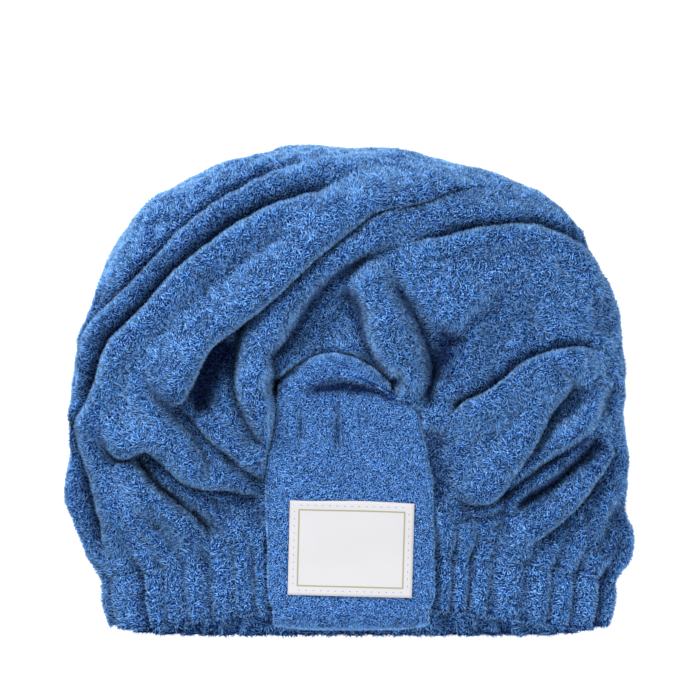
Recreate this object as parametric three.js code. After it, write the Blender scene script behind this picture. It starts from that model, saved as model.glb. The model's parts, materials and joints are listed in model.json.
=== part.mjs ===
// Hair turban towel of terry cloth, lying on its back on a table.
// Millimetres. +Z is the turban's front, +Y points to the crown's top, -Y to the mouth,
// and the origin is under the middle of the whole part, on the table.
import * as THREE from 'three';

// Driving sizes
const crownWidth = 268;        // across the fullest part of the crown
const crownLength = 239;       // back hem to the crown's top
const crownHeight = 79;        // table to the highest cloth, without its folds
const clothWall = 3;           // terry, pile and all
const mouthWidth = 250;        // relaxed hem, side to side
const mouthHeight = 44;        // relaxed hem, back to front
const mouthShift = 5;          // the hem's middle lies right of the crown's
const mouthLean = 15.5;        // the front hem ends short of the back hem
const bandLength = 28;         // the hem casing, from edge to seam
const bandThick = 7;           // casing with its elastic
const gatherDepth = 1.4;       // how far the casing puckers in
const foldDepth = 10;          // a deep fold of the crown
const foldWidth = 17;          // from a deep fold's crease to the foot of its roll
const hollowDepth = 30;        // the well inside the knot
const hollowWidth = 19;        // half of it, across
const hollowLength = 19;       // half of it, up the crown
const strapWidth = 79;         // the strap at the hem
const strapThick = 5;          // two layers of cloth
const strapShift = 1.2;        // the strap's middle lies right of the crown's
const strapReach = 136;        // back hem to the strap's highest roll
const strapTuck = 20;          // the end that is turned in under the front hem
const strapCrease = 5;         // depth of the crease across the strap below its roll
const labelWidth = 60;
const labelLength = 46;
const labelThick = 0.8;
const labelUp = 22;            // back hem to the label's lower edge
const labelTurn = 1.5;         // degrees, sewn a little askew

// Clearances
const seamGap = 0.3;           // between pieces that are sewn together
const pressGap = 0.9;          // between the strap and the crown that it presses in

// How finely the cloth is divided
const gathers = 48;            // puckers round the hem
const stepsPerGather = 3;
const crownColumns = 66;
const crownRows = 33;
const frontWeight = 2.2;       // the folded front is divided this much finer than the plain back
const strapColumns = 8;
const labelColumns = 8;
const labelRows = 6;

// The crown's sections, from the hem seam to the top. along: share of the way round the side view.
// left, right: shares of half the crown's width. back, waist, crest: shares of its height.
const crownSections = [
  { along: 0.05, left: -0.962, right: 1.018, back: 0.0, waist: 0.26, crest: 0.62 },
  { along: 0.10, left: -1.005, right: 0.996, back: 0.0, waist: 0.29, crest: 0.69 },
  { along: 0.15, left: -1.018, right: 0.998, back: 0.0, waist: 0.32, crest: 0.76 },
  { along: 0.20, left: -1.014, right: 1.005, back: 0.0, waist: 0.34, crest: 0.84 },
  { along: 0.30, left: -0.994, right: 0.978, back: 0.0, waist: 0.37, crest: 0.93 },
  { along: 0.40, left: -0.948, right: 0.980, back: 0.0, waist: 0.38, crest: 0.99 },
  { along: 0.50, left: -0.895, right: 0.914, back: 0.0, waist: 0.39, crest: 1.00 },
  { along: 0.60, left: -0.797, right: 0.830, back: 0.0, waist: 0.39, crest: 0.95 },
  { along: 0.70, left: -0.660, right: 0.686, back: 0.0, waist: 0.38, crest: 0.86 },
  { along: 0.80, left: -0.490, right: 0.430, back: 0.02, waist: 0.36, crest: 0.72 },
  { along: 0.90, left: -0.300, right: 0.180, back: 0.09, waist: 0.33, crest: 0.54 },
  { along: 1.00, left: -0.075, right: -0.075, back: 0.28, waist: 0.28, crest: 0.28 },
];

// The crown's laps, where one stretch of cloth overlies the next, each along a line over its front.
// path: shares of half the crown's width and of its length. high: the side that overlies, seen
// along the path, 1 left and -1 right. rise, crease: shares of foldDepth. roll, groove: of foldWidth.
const crownLaps = [
  {
    high: -1, rise: 0.45, roll: 0.65, crease: 0.4, groove: 0.4,  // upper left edge
    path: [[-0.99, 0.50], [-0.75, 0.73], [-0.30, 0.93], [-0.01, 0.97]],
  },
  {
    high: -1, rise: 0.65, roll: 0.75, crease: 0.5, groove: 0.4,  // second from the upper left
    path: [[-0.95, 0.44], [-0.68, 0.68], [-0.43, 0.81], [0.11, 0.95]],
  },
  {
    high: 1, rise: 1, roll: 1, crease: 1, groove: 0.45,  // deep fold over the knot
    path: [[-0.62, 0.49], [-0.44, 0.63], [-0.01, 0.84], [0.38, 0.91], [0.60, 0.89]],
  },
  {
    high: -1, rise: 0.6, roll: 0.8, crease: 0.6, groove: 0.42,  // from the knot to the right
    path: [[-0.03, 0.75], [0.34, 0.81], [0.59, 0.83], [0.89, 0.77]],
  },
  {
    high: 1, rise: 0.3, roll: 0.4, crease: 0.25, groove: 0.4,  // the right panel's far edge
    path: [[0.74, 0.79], [0.88, 0.73], [0.98, 0.65]],
  },
  {
    high: -1, rise: 0.9, roll: 1.1, crease: 0.5, groove: 0.5,  // top of the right lobe
    path: [[0.35, 0.44], [0.63, 0.54], [0.92, 0.58]],
  },
  {
    high: -1, rise: 0.2, roll: 0.6, crease: 1.3, groove: 0.45,  // deep fold in the right lobe
    path: [[0.76, 0.53], [0.62, 0.415], [0.48, 0.305]],
  },
  {
    high: -1, rise: 0.45, roll: 0.6, crease: 0.8, groove: 0.4,  // right, above the hem
    path: [[0.94, 0.39], [0.81, 0.29], [0.65, 0.20]],
  },
  {
    high: -1, rise: 0.45, roll: 0.7, crease: 0.35, groove: 0.45,  // across the left panel
    path: [[-0.75, 0.565], [-0.66, 0.47], [-0.53, 0.36]],
  },
  {
    high: 1, rise: 0.7, roll: 0.9, crease: 0.7, groove: 0.45,  // the left panel's lower edge
    path: [[-0.90, 0.42], [-0.79, 0.37], [-0.59, 0.33], [-0.31, 0.29]],
  },
  {
    high: 1, rise: 0.4, roll: 0.75, crease: 0.5, groove: 0.4,  // left of the strap
    path: [[-0.62, 0.485], [-0.51, 0.43], [-0.28, 0.325]],
  },
  {
    high: -1, rise: 0.5, roll: 0.75, crease: 0.7, groove: 0.4,  // left, above the hem
    path: [[-0.78, 0.37], [-0.70, 0.30], [-0.50, 0.20]],
  },
  {
    high: -1, rise: 0.25, roll: 0.5, crease: 0.3, groove: 0.4,  // left edge above the hem
    path: [[-0.79, 0.265], [-0.70, 0.21], [-0.59, 0.16]],
  },
  {
    high: 1, rise: 0.4, roll: 0.7, crease: 0.9, groove: 0.45,  // over the left back layer
    path: [[-0.96, 0.46], [-0.92, 0.34], [-0.86, 0.16]],
  },
];

// The crown's plain ridges and, with a negative rise, its valleys, in the same shares
const crownRidges = [
  {
    rise: 0.9, roll: 0.55,  // the knot's left roll
    path: [[0.54, 0.87], [0.12, 0.83], [-0.23, 0.71], [-0.33, 0.54], [-0.27, 0.41]],
  },
  {
    rise: -0.7, roll: 0.4,  // left of that roll
    path: [[-0.33, 0.68], [-0.39, 0.55], [-0.33, 0.43], [-0.28, 0.39]],
  },
  {
    rise: 1.2, roll: 0.5,  // the knot's right roll
    path: [[-0.04, 0.72], [0.09, 0.72], [0.16, 0.67], [0.21, 0.60], [0.19, 0.47]],
  },
  {
    rise: -0.6, roll: 0.5,  // right of that roll
    path: [[0.11, 0.76], [0.29, 0.65], [0.33, 0.53]],
  },
  {
    rise: -0.6, roll: 1.5,  // dish of the right panel
    path: [[0.44, 0.69], [0.60, 0.64], [0.76, 0.65]],
  },
  {
    rise: 0.5, roll: 0.5,  // narrow ridge below the lobe
    path: [[0.90, 0.545], [0.69, 0.38], [0.42, 0.27]],
  },
  {
    rise: 0.35, roll: 0.4,  // right edge above the hem
    path: [[0.98, 0.325], [0.92, 0.25], [0.87, 0.19]],
  },
];

// The well inside the knot, by its middle
const hollow = { across: -0.07, up: 0.63 };

// The strap from the hem to its roll. up: share of the way from the hem to the roll's top.
// left, right: shares of half its width at the hem. rise: share of the climb from hem to roll.
// bow: how far its edges lie behind its middle, as a share of its width.
const strapSections = [
  { up: 0.00, left: -0.93, right: 0.93, rise: 0.00, bow: 0.0 },
  { up: 0.05, left: -0.99, right: 1.00, rise: 0.02, bow: 0.0 },
  { up: 0.20, left: -1.00, right: 1.00, rise: 0.10, bow: 0.0 },
  { up: 0.35, left: -1.01, right: 0.99, rise: 0.24, bow: 0.0 },
  { up: 0.50, left: -1.02, right: 0.97, rise: 0.42, bow: 0.0 },
  { up: 0.62, left: -0.98, right: 0.91, rise: 0.58, bow: 0.02 },
  { up: 0.74, left: -0.90, right: 0.83, rise: 0.76, bow: 0.04 },
  { up: 0.84, left: -0.88, right: 0.77, rise: 0.90, bow: 0.07 },
  { up: 0.93, left: -0.88, right: 0.56, rise: 1.00, bow: 0.13 },
];
const strapRoll = { left: -0.87, right: 0.46, bow: 0.16 };   // its roll, where it dives into the well
const strapRollHigh = 0.87;    // share of the crown's height
const strapRollRadius = 7;     // of the middle of the cloth
const strapDive = 8;           // straight stretch down into the well
const creaseUp = 0.95;         // where the crease crosses, as a share of the way up
const creaseHalf = 5;          // half of the crease's width

const degree = Math.PI / 180;
const halfWidth = crownWidth / 2;
const strapMiddle = strapShift;

function smooth(share) {
  const t = Math.min(Math.max(share, 0), 1);
  return t * t * (3 - 2 * t);
}

// Value of a table's column at a place, smooth between rows
function readTable(rows, placeColumn, column, place) {
  const last = rows.length - 1;
  let index = 0;
  while (index < last - 1 && rows[index + 1][placeColumn] < place) index += 1;
  const row = (number) => rows[Math.min(Math.max(number, 0), last)];
  const start = row(index);
  const end = row(index + 1);
  const span = end[placeColumn] - start[placeColumn];
  const t = Math.min(Math.max((place - start[placeColumn]) / span, 0), 1);
  const slope = (before, after) => {
    const run = after[placeColumn] - before[placeColumn];
    return run > 0 ? ((after[column] - before[column]) / run) * span : 0;
  };
  const startSlope = slope(row(index - 1), end);
  const endSlope = slope(start, row(index + 2));
  const t2 = t * t;
  const t3 = t2 * t;
  return (2 * t3 - 3 * t2 + 1) * start[column] + (t3 - 2 * t2 + t) * startSlope
    + (-2 * t3 + 3 * t2) * end[column] + (t3 - t2) * endSlope;
}

// Closed body through rings of as many points each. A ring of one point is a pole.
// middleAt gives the real surface's point in the middle of a quad, which is then split along
// the diagonal that passes nearer to it.
function skinRings(rings, isLoop, middleAt = null) {
  const positions = [];
  const triangles = [];
  const starts = rings.map((ring) => {
    const start = positions.length / 3;
    ring.forEach((point) => positions.push(point.x, point.y, point.z));
    return start;
  });
  const bandCount = isLoop ? rings.length : rings.length - 1;
  for (let i = 0; i < bandCount; i += 1) {
    const j = (i + 1) % rings.length;
    const count = Math.max(rings[i].length, rings[j].length);
    for (let k = 0; k < count; k += 1) {
      const next = (k + 1) % count;
      const isStartPole = rings[i].length === 1;
      const isEndPole = rings[j].length === 1;
      const a = starts[i] + (isStartPole ? 0 : k);
      const b = starts[i] + (isStartPole ? 0 : next);
      const c = starts[j] + (isEndPole ? 0 : next);
      const d = starts[j] + (isEndPole ? 0 : k);
      const isQuad = middleAt && !isStartPole && !isEndPole;
      const diagonal = [rings[i][next], rings[j][k]];
      const otherDiagonal = [rings[i][k], rings[j][next]];
      if (isQuad && isNearer(diagonal, otherDiagonal, middleAt(i, k))) {
        triangles.push(a, b, d, b, c, d);
      } else {
        if (!isStartPole) triangles.push(a, b, c);
        if (!isEndPole) triangles.push(a, c, d);
      }
    }
  }
  const geometry = new THREE.BufferGeometry();
  geometry.setAttribute('position', new THREE.Float32BufferAttribute(positions, 3));
  geometry.setIndex(signedVolume(positions, triangles) < 0 ? triangles.reverse() : triangles);
  geometry.computeVertexNormals();
  return geometry;
}

// Whether the middle of one diagonal lies nearer to a point than the middle of the other
function isNearer(diagonal, otherDiagonal, point) {
  const distance = ([start, end]) => start.clone().add(end).multiplyScalar(0.5).distanceTo(point);
  return distance(diagonal) < distance(otherDiagonal);
}

function signedVolume(positions, triangles) {
  const corner = (number) => new THREE.Vector3().fromArray(positions, 3 * number);
  let volume = 0;
  for (let i = 0; i < triangles.length; i += 3) {
    const [a, b, c] = triangles.slice(i, i + 3).map(corner);
    volume += a.dot(b.cross(c)) / 6;
  }
  return volume;
}

// A pole in the middle of a ring, to close a flat end
function middleOf(ring) {
  const middle = new THREE.Vector3();
  ring.forEach((point) => middle.add(point));
  return [middle.divideScalar(ring.length)];
}

// Round cross-section in the plane of x and z: domed front, back flat on the table
const frontFullness = 2.3;     // 2 is an ellipse, more is squarer
const backFullness = 3.2;
const backFlat = 1.12;         // the round back reaches past the table and is cut flat there

function sectionPoint(section, angle) {
  const isFront = Math.sin(angle) >= 0;
  const power = isFront ? frontFullness : backFullness;
  const cos = Math.cos(angle);
  const sin = Math.sin(angle);
  const size = (Math.abs(cos) ** power + Math.abs(sin) ** power) ** (1 / power);
  const middle = (section.left + section.right) / 2;
  const half = (section.right - section.left) / 2;
  const lift = sin / size;
  const z = isFront
    ? section.waist + (section.crest - section.waist) * lift
    : Math.max(section.waist + (section.waist - section.back) * lift * backFlat, section.back);
  return new THREE.Vector3(middle + (half * cos) / size, 0, z);
}

// Places from 0 to 1 that space a curve's points evenly, or closer where it weighs more
function evenPlaces(pointAt, weightAt, count) {
  const fine = 20 * count;
  const lengths = [0];
  for (let i = 1; i <= fine; i += 1) {
    const step = pointAt(i / fine).distanceTo(pointAt((i - 1) / fine));
    lengths.push(lengths[i - 1] + step * weightAt(i / fine));
  }
  const places = [];
  let i = 0;
  for (let k = 0; k < count; k += 1) {
    const goal = (k / count) * lengths[fine];
    while (lengths[i + 1] < goal) i += 1;
    places.push((i + (goal - lengths[i]) / (lengths[i + 1] - lengths[i])) / fine);
  }
  return places;
}

function evenAngles(section, count, weight) {
  const angle = (share) => share * 2 * Math.PI;
  const weightAt = (share) => (share < 0.5 ? weight : 1);
  return evenPlaces((share) => sectionPoint(section, angle(share)), weightAt, count).map(angle);
}

// The hem
const mouthSection = {
  left: mouthShift - mouthWidth / 2,
  right: mouthShift + mouthWidth / 2,
  back: 0,
  waist: mouthHeight / 2,
  crest: mouthHeight,
};

function insetSection(section, inset) {
  return {
    left: section.left + inset,
    right: section.right - inset,
    back: section.back + inset,
    waist: section.waist,
    crest: section.crest - inset,
  };
}

// Where the hem's seam and its lower edge lie: the front arches up towards the strap
const hemArch = 1;
const hemCorner = 6;           // the lower edge's side corners are rounded by this much

function hemEdges(angle) {
  const reach = sectionPoint(mouthSection, angle).x - mouthShift;
  const share = Math.min(Math.abs(reach) / (mouthWidth / 2), 1);
  const arch = Math.sin(angle) > 0 ? mouthLean * (1 - share * share) ** hemArch : 0;
  return { seam: arch + bandLength, lower: arch + hemCorner * share ** 10 };
}

function makeBand() {
  const angles = evenAngles(mouthSection, gathers * stepsPerGather, 1);
  const edge = bandThick / 4;
  const profile = [                       // from the lower edge to the seam and back
    { isSeam: false, up: 0, inset: edge },
    { isSeam: false, up: edge, inset: 0 },
    { isSeam: true, up: 0, inset: 0 },
    { isSeam: true, up: 0, inset: bandThick },
    { isSeam: false, up: edge, inset: bandThick },
    { isSeam: false, up: 0, inset: bandThick - edge },
  ];
  const rings = angles.map((angle, i) => {
    const phase = (i / stepsPerGather) * 2 * Math.PI;
    const pucker = (gatherDepth * (1 - Math.cos(phase))) / 2;
    const { seam, lower } = hemEdges(angle);
    return profile.map(({ isSeam, up, inset }) => {
      const point = sectionPoint(insetSection(mouthSection, inset + pucker), angle);
      point.y = (isSeam ? seam : lower) + up;
      return point;
    });
  });
  return skinRings(rings, true);
}

// The strap's middle line in side view, from its tucked end round the hem to the well
const hemDepth = bandThick + gatherDepth;
const hemMiddle = mouthHeight - hemDepth / 2;
const wrapRadius = hemDepth / 2 + seamGap + strapThick / 2;
const strapStart = hemMiddle + wrapRadius;
const rollTop = strapRollHigh * crownHeight - strapThick / 2;
const wrapSteps = 6;
const rollSteps = 5;
const strapRows = 16;

function strapLine() {
  const stations = [];
  const add = (y, z, across) => stations.push({ y, z, ...across });
  const hem = { left: strapSections[0].left, right: strapSections[0].right, bow: 0 };
  add(mouthLean + strapTuck, hemMiddle - wrapRadius, hem);
  add(mouthLean + strapTuck / 2, hemMiddle - wrapRadius, hem);
  for (let i = 0; i < wrapSteps; i += 1) {
    const turn = (i / wrapSteps) * Math.PI;
    add(mouthLean - wrapRadius * Math.sin(turn), hemMiddle - wrapRadius * Math.cos(turn), hem);
  }
  const lastUp = strapSections[strapSections.length - 1].up;
  const climbEnd = strapReach - strapRollRadius;
  for (let i = 0; i <= strapRows; i += 1) {
    const up = (i / strapRows) * lastUp;
    const read = (column) => readTable(strapSections, 'up', column, up);
    const y = mouthLean + (up / lastUp) * (climbEnd - mouthLean);
    const distance = (y - (mouthLean + creaseUp * (climbEnd - mouthLean))) / creaseHalf;
    const dip = strapCrease * Math.exp(-distance * distance);
    const across = { left: read('left'), right: read('right'), bow: read('bow') };
    add(y, strapStart + (rollTop - strapStart) * read('rise') - dip, across);
  }
  for (let i = 1; i <= rollSteps; i += 1) {
    const turn = ((i / rollSteps) * Math.PI) / 2;
    const y = climbEnd + strapRollRadius * Math.sin(turn);
    add(y, rollTop - strapRollRadius * (1 - Math.cos(turn)), strapRoll);
  }
  add(strapReach, rollTop - strapRollRadius - strapDive, strapRoll);
  return stations;
}

const strapStations = strapLine();
const edgeThin = 0.45;         // the folded edges are rounder and thinner than the middle
const edgeSink = 0.35;         // and lie lower, both as shares of the strap's thickness

// How much lower the hem's front lies at a place than at its middle. The strap bends with it.
function hemDrop(x) {
  const share = Math.min(Math.abs(x - mouthShift) / (mouthWidth / 2), 1);
  return (mouthHeight / 2) * ((1 - share ** frontFullness) ** (1 / frontFullness) - 1);
}

// One point of the strap: across from -1 to 1, face 1 outside and -1 inside
function strapPoint(index, across, face) {
  const station = strapStations[index];
  const before = strapStations[Math.max(index - 1, 0)];
  const after = strapStations[Math.min(index + 1, strapStations.length - 1)];
  const along = new THREE.Vector2(after.y - before.y, after.z - before.z).normalize();
  const outward = new THREE.Vector2(-along.y, along.x);
  const middle = (station.left + station.right) / 2;
  const half = (station.right - station.left) / 2;
  const x = strapMiddle + (strapWidth / 2) * (middle + half * across);
  const toEdge = across ** 4;
  const offset = strapThick * ((face / 2) * (1 - edgeThin * toEdge) - (edgeSink * toEdge) / 2);
  const back = station.bow * strapWidth * across * across;
  const z = station.z + hemDrop(x) + offset * outward.y;
  return new THREE.Vector3(x, station.y - back + offset * outward.x, z);
}

function makeStrap() {
  const shares = Array.from({ length: strapColumns + 1 }, (_, i) => {
    return Math.sin(((i / strapColumns) * 2 - 1) * (Math.PI / 2));
  });
  const rings = strapStations.map((_, index) => [
    ...shares.map((across) => strapPoint(index, across, 1)),
    ...shares.toReversed().map((across) => strapPoint(index, across, -1)),
  ]);
  return skinRings([middleOf(rings[0]), ...rings, middleOf(rings[rings.length - 1])], false);
}

// Height of the strap's outer face over a place, by its side view
function strapTop(x, y) {
  const first = 2 + wrapSteps;
  let index = first;
  while (index < first + strapRows - 1 && strapStations[index + 1].y < y) index += 1;
  const start = strapStations[index];
  const end = strapStations[index + 1];
  const t = (y - start.y) / (end.y - start.y);
  const across = (x - strapMiddle) / (strapWidth / 2);
  const middle = start.z + (end.z - start.z) * t + hemDrop(x);
  return middle + strapThick * (0.5 - ((edgeThin + edgeSink) / 2) * across ** 4);
}

function makeLabel() {
  const turn = -labelTurn * degree;
  const middleY = labelUp + labelLength / 2;
  const place = (across, up, lift) => {
    const x = strapMiddle + across * Math.cos(turn) - up * Math.sin(turn);
    const y = middleY + across * Math.sin(turn) + up * Math.cos(turn);
    return new THREE.Vector3(x, y, strapTop(x, y) + seamGap + lift);
  };
  const rings = [];
  for (let row = 0; row <= labelRows; row += 1) {
    const up = (row / labelRows - 0.5) * labelLength;
    const across = (column) => (column / labelColumns - 0.5) * labelWidth;
    const columns = Array.from({ length: labelColumns + 1 }, (_, i) => i);
    rings.push([
      ...columns.map((column) => place(across(column), up, labelThick)),
      ...columns.toReversed().map((column) => place(across(column), up, 0)),
    ]);
  }
  return skinRings([middleOf(rings[0]), ...rings, middleOf(rings[labelRows])], false);
}

// The crown without its folds. along: 0 at the hem seam, 1 at the top
const crownTable = [
  { along: 0, ...insetSection(mouthSection, (bandThick - clothWall) / 2) },
  ...crownSections.map((row) => ({
    along: row.along,
    left: row.left * halfWidth,
    right: row.right * halfWidth,
    back: row.back * crownHeight,
    waist: row.waist * crownHeight,
    crest: row.crest * crownHeight,
  })),
];

function crownBase(angle, along) {
  const section = {};
  for (const column of ['left', 'right', 'back', 'waist', 'crest']) {
    section[column] = readTable(crownTable, 'along', column, along);
  }
  section.back = Math.max(section.back, 0);
  const point = sectionPoint(section, angle);
  const seam = hemEdges(angle).seam + seamGap;
  point.y = seam + (crownLength - seam) * Math.sin((along * Math.PI) / 2);
  return point;
}

function crownNormal(angle, along) {
  const step = 0.01;
  const low = Math.max(along - step, 0);
  const high = Math.min(along + step, 1 - step);
  const up = crownBase(angle, high).sub(crownBase(angle, low));
  const middle = Math.min(along, 1 - step);
  const round = crownBase(angle + step, middle).sub(crownBase(angle - step, middle));
  return round.cross(up).normalize().negate();
}

// A fold's smooth line as short straight steps
const lineSteps = 16;

function withLine(fold) {
  const corners = fold.path.map(([x, y]) => new THREE.Vector3(x * halfWidth, y * crownLength, 0));
  const points = new THREE.CatmullRomCurve3(corners, false, 'centripetal').getPoints(lineSteps);
  return { ...fold, points };
}

const lapLines = crownLaps.map(withLine);
const ridgeLines = crownRidges.map(withLine);
const foldFade = 0.2;          // share of a fold's length over which each end runs out

// Distance from a place to a fold's line, the side it lies on, and how strong the fold is there
function foldPlace(points, x, y) {
  let best = { distance: Infinity, side: 1, share: 0 };
  for (let i = 0; i < points.length - 1; i += 1) {
    const start = points[i];
    const runX = points[i + 1].x - start.x;
    const runY = points[i + 1].y - start.y;
    const t = ((x - start.x) * runX + (y - start.y) * runY) / (runX * runX + runY * runY);
    const near = Math.min(Math.max(t, 0), 1);
    const dx = x - start.x - runX * near;
    const dy = y - start.y - runY * near;
    const distance = Math.hypot(dx, dy);
    if (distance < best.distance) {
      const side = Math.sign(runX * dy - runY * dx);
      best = { distance, side, share: (i + near) / (points.length - 1) };
    }
  }
  const strength = smooth(best.share / foldFade) * smooth((1 - best.share) / foldFade);
  return { ...best, strength };
}

function foldHeight(x, y) {
  let height = 0;
  for (const lap of lapLines) {
    const { distance, side, strength } = foldPlace(lap.points, x, y);
    const isHigh = side * lap.high > 0;
    const swell = Math.sin(Math.PI * Math.sqrt(Math.min(distance / (lap.roll * foldWidth), 1))) ** 2;
    const groove = Math.exp(-((distance / (lap.groove * foldWidth)) ** 2));
    height += isHigh ? strength * lap.rise * foldDepth * swell : 0;
    height -= strength * lap.crease * foldDepth * groove;
  }
  for (const ridge of ridgeLines) {
    const { distance, strength } = foldPlace(ridge.points, x, y);
    height += strength * ridge.rise * foldDepth * Math.exp(-((distance / (ridge.roll * foldWidth)) ** 2));
  }
  const across = (x - hollow.across * halfWidth) / hollowWidth;
  const up = (y - hollow.up * crownLength) / hollowLength;
  return height - hollowDepth * Math.exp(-((across * across + up * up) ** 1.5));
}

// How far down the strap presses the crown at a place
const pressReach = 7.5;        // a little more than a step of the crown's cloth
const pressSlope = 2.2;        // how steeply the cloth comes up again beside the strap

function pressLevel(x, y) {
  let level = Infinity;
  strapStations.forEach((station, index) => {
    if (index <= wrapSteps) return;
    const edgeLeft = strapMiddle + (station.left * strapWidth) / 2 - pressReach;
    const edgeRight = strapMiddle + (station.right * strapWidth) / 2 + pressReach;
    const edgeBack = station.y - station.bow * strapWidth - pressReach;
    const across = Math.max(edgeLeft - x, x - edgeRight, 0);
    const along = Math.max(edgeBack - y, y - station.y - pressReach, 0);
    const underside = station.z + hemDrop(x) - strapThick / 2 - pressGap;
    level = Math.min(level, underside + pressSlope * Math.hypot(across, along));
  });
  return level;
}

const pleatFade = 30;          // the hem's gathers run out this far up the crown
const pleatDepth = 2.4;
const pleats = crownColumns / 3;
const widestRow = 5;           // of the crown's table

function crownPoint(angle, column, along, depth) {
  const base = crownBase(angle, along);
  const normal = crownNormal(angle, along);
  const facing = smooth(normal.z / 0.6);
  const seam = hemEdges(angle).seam + seamGap;
  const nearSeam = Math.exp(-(((base.y - seam) / pleatFade) ** 2));
  const leave = smooth((base.y - seam) / pleatFade);
  const pleat = pleatDepth * Math.cos((column / crownColumns) * pleats * 2 * Math.PI);
  const relief = facing * (leave * foldHeight(base.x, base.y) + nearSeam * leave * pleat);
  const point = base.clone().addScaledVector(normal, relief - depth);
  if (normal.z > 0) point.z = Math.min(point.z, pressLevel(point.x, point.y) - depth);
  return point;
}

function makeCrown() {
  const angles = evenAngles(crownTable[widestRow], crownColumns, frontWeight);
  const places = evenPlaces((along) => crownBase(Math.PI / 2, along), () => 1, crownRows);
  const pointAt = (row, column, depth) => {
    const share = (list, index, end) => {
      const whole = Math.floor(index);
      const next = whole + 1 < list.length ? list[whole + 1] : end;
      return list[whole] + (next - list[whole]) * (index - whole);
    };
    const angle = share(angles, column, angles[0] + 2 * Math.PI);
    return crownPoint(angle, column, share(places, row, 1), depth);
  };
  const skin = (depth) => {
    const rings = places.map((_, row) => angles.map((__, column) => pointAt(row, column, depth)));
    rings.push([crownBase(0, 1).add(new THREE.Vector3(0, -depth, 0))]);
    return rings;
  };
  const rings = [...skin(0).toReversed(), ...skin(clothWall)];
  const middleAt = (ring, column) => {
    const isOuter = ring < places.length;
    const isRim = ring === places.length;
    if (isRim) return rings[ring][column];
    const row = isOuter ? places.length - ring : ring - places.length - 1;
    return pointAt(row + (isOuter ? -0.5 : 0.5), column + 0.5, isOuter ? 0 : clothWall);
  };
  return skinRings(rings, false, middleAt);
}

// Colours and pieces
const terry = new THREE.MeshStandardMaterial({ color: 0x3f68a3, roughness: 1, metalness: 0 });
const strapTerry = new THREE.MeshStandardMaterial({ color: 0x4972ac, roughness: 1, metalness: 0 });
const wovenLabel = new THREE.MeshStandardMaterial({ color: 0xf0f0f3, roughness: 0.8, metalness: 0 });

function piece(name, geometry, material) {
  const mesh = new THREE.Mesh(geometry, material);
  mesh.name = name;
  return mesh;
}

const turban = new THREE.Group();
turban.add(
  piece('crown', makeCrown(), terry),
  piece('elastic_band', makeBand(), terry),
  piece('front_strap', makeStrap(), strapTerry),
  piece('label', makeLabel(), wovenLabel),
);

// The origin goes under the middle of the whole part
const box = new THREE.Box3().setFromObject(turban, true);
const middle = box.getCenter(new THREE.Vector3());
turban.position.set(-middle.x, -middle.y, -box.min.z);

export default turban;
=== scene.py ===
# Hair turban towel of blue terry, lying on its back on a pale table, seen from straight above.
import json
import math
import bmesh
import bpy
import numpy as np
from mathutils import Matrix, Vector

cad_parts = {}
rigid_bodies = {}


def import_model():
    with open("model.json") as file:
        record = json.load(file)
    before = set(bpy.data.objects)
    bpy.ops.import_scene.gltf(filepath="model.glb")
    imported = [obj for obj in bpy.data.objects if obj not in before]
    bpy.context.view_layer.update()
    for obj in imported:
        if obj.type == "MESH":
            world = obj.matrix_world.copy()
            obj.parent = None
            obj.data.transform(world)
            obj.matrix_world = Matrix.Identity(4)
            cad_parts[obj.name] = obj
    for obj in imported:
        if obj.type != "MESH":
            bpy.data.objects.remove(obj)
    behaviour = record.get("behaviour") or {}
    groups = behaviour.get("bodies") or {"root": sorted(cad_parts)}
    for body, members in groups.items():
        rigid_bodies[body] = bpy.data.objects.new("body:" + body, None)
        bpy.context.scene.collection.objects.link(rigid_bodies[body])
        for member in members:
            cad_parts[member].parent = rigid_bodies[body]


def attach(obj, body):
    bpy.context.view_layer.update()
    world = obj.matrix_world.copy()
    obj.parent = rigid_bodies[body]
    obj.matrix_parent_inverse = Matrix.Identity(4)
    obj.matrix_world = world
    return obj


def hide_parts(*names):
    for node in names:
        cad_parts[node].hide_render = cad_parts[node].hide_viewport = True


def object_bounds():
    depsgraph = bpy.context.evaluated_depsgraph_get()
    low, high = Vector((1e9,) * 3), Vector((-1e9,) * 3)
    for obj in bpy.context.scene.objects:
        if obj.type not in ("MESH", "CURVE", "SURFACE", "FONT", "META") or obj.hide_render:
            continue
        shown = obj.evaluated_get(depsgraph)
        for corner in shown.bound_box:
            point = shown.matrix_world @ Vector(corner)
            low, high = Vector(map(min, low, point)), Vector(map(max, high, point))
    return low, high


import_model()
cadLow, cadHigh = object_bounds()
mm = 0.001  # Blender works in metres, the tables below in millimetres
hemY = cadLow.y / mm  # the back hem's edge; the tables measure up the crown from here
print("frame loaded, CAD box in mm:", [round(v / mm, 1) for v in (*cadLow, *cadHigh)])

# Where a pixel of the photograph lies on the part
photo = dict(pixel=0.484, middle=348.5, hem=641)


def fromPhoto(path):
    return [((x - photo["middle"]) * photo["pixel"], (photo["hem"] - y) * photo["pixel"]) for x, y in path]


# Small helpers for shapes
def smoothStep(t):
    t = np.clip(t, 0, 1)
    return t * t * (3 - 2 * t)


def readTable(rows, place, column, places):
    keys = np.array([row[place] for row in rows])
    values = np.array([row[column] for row in rows])
    last = len(rows) - 1
    after = np.minimum(np.arange(last + 1) + 1, last)
    before = np.maximum(np.arange(last + 1) - 1, 0)
    slopes = (values[after] - values[before]) / (keys[after] - keys[before])
    i = np.clip(np.searchsorted(keys, places, side="right") - 1, 0, last - 1)
    span = keys[i + 1] - keys[i]
    t = np.clip((places - keys[i]) / span, 0, 1)
    start = (2 * t**3 - 3 * t**2 + 1) * values[i] + (t**3 - 2 * t**2 + t) * slopes[i] * span
    return start + (3 * t**2 - 2 * t**3) * values[i + 1] + (t**3 - t**2) * slopes[i + 1] * span


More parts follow.
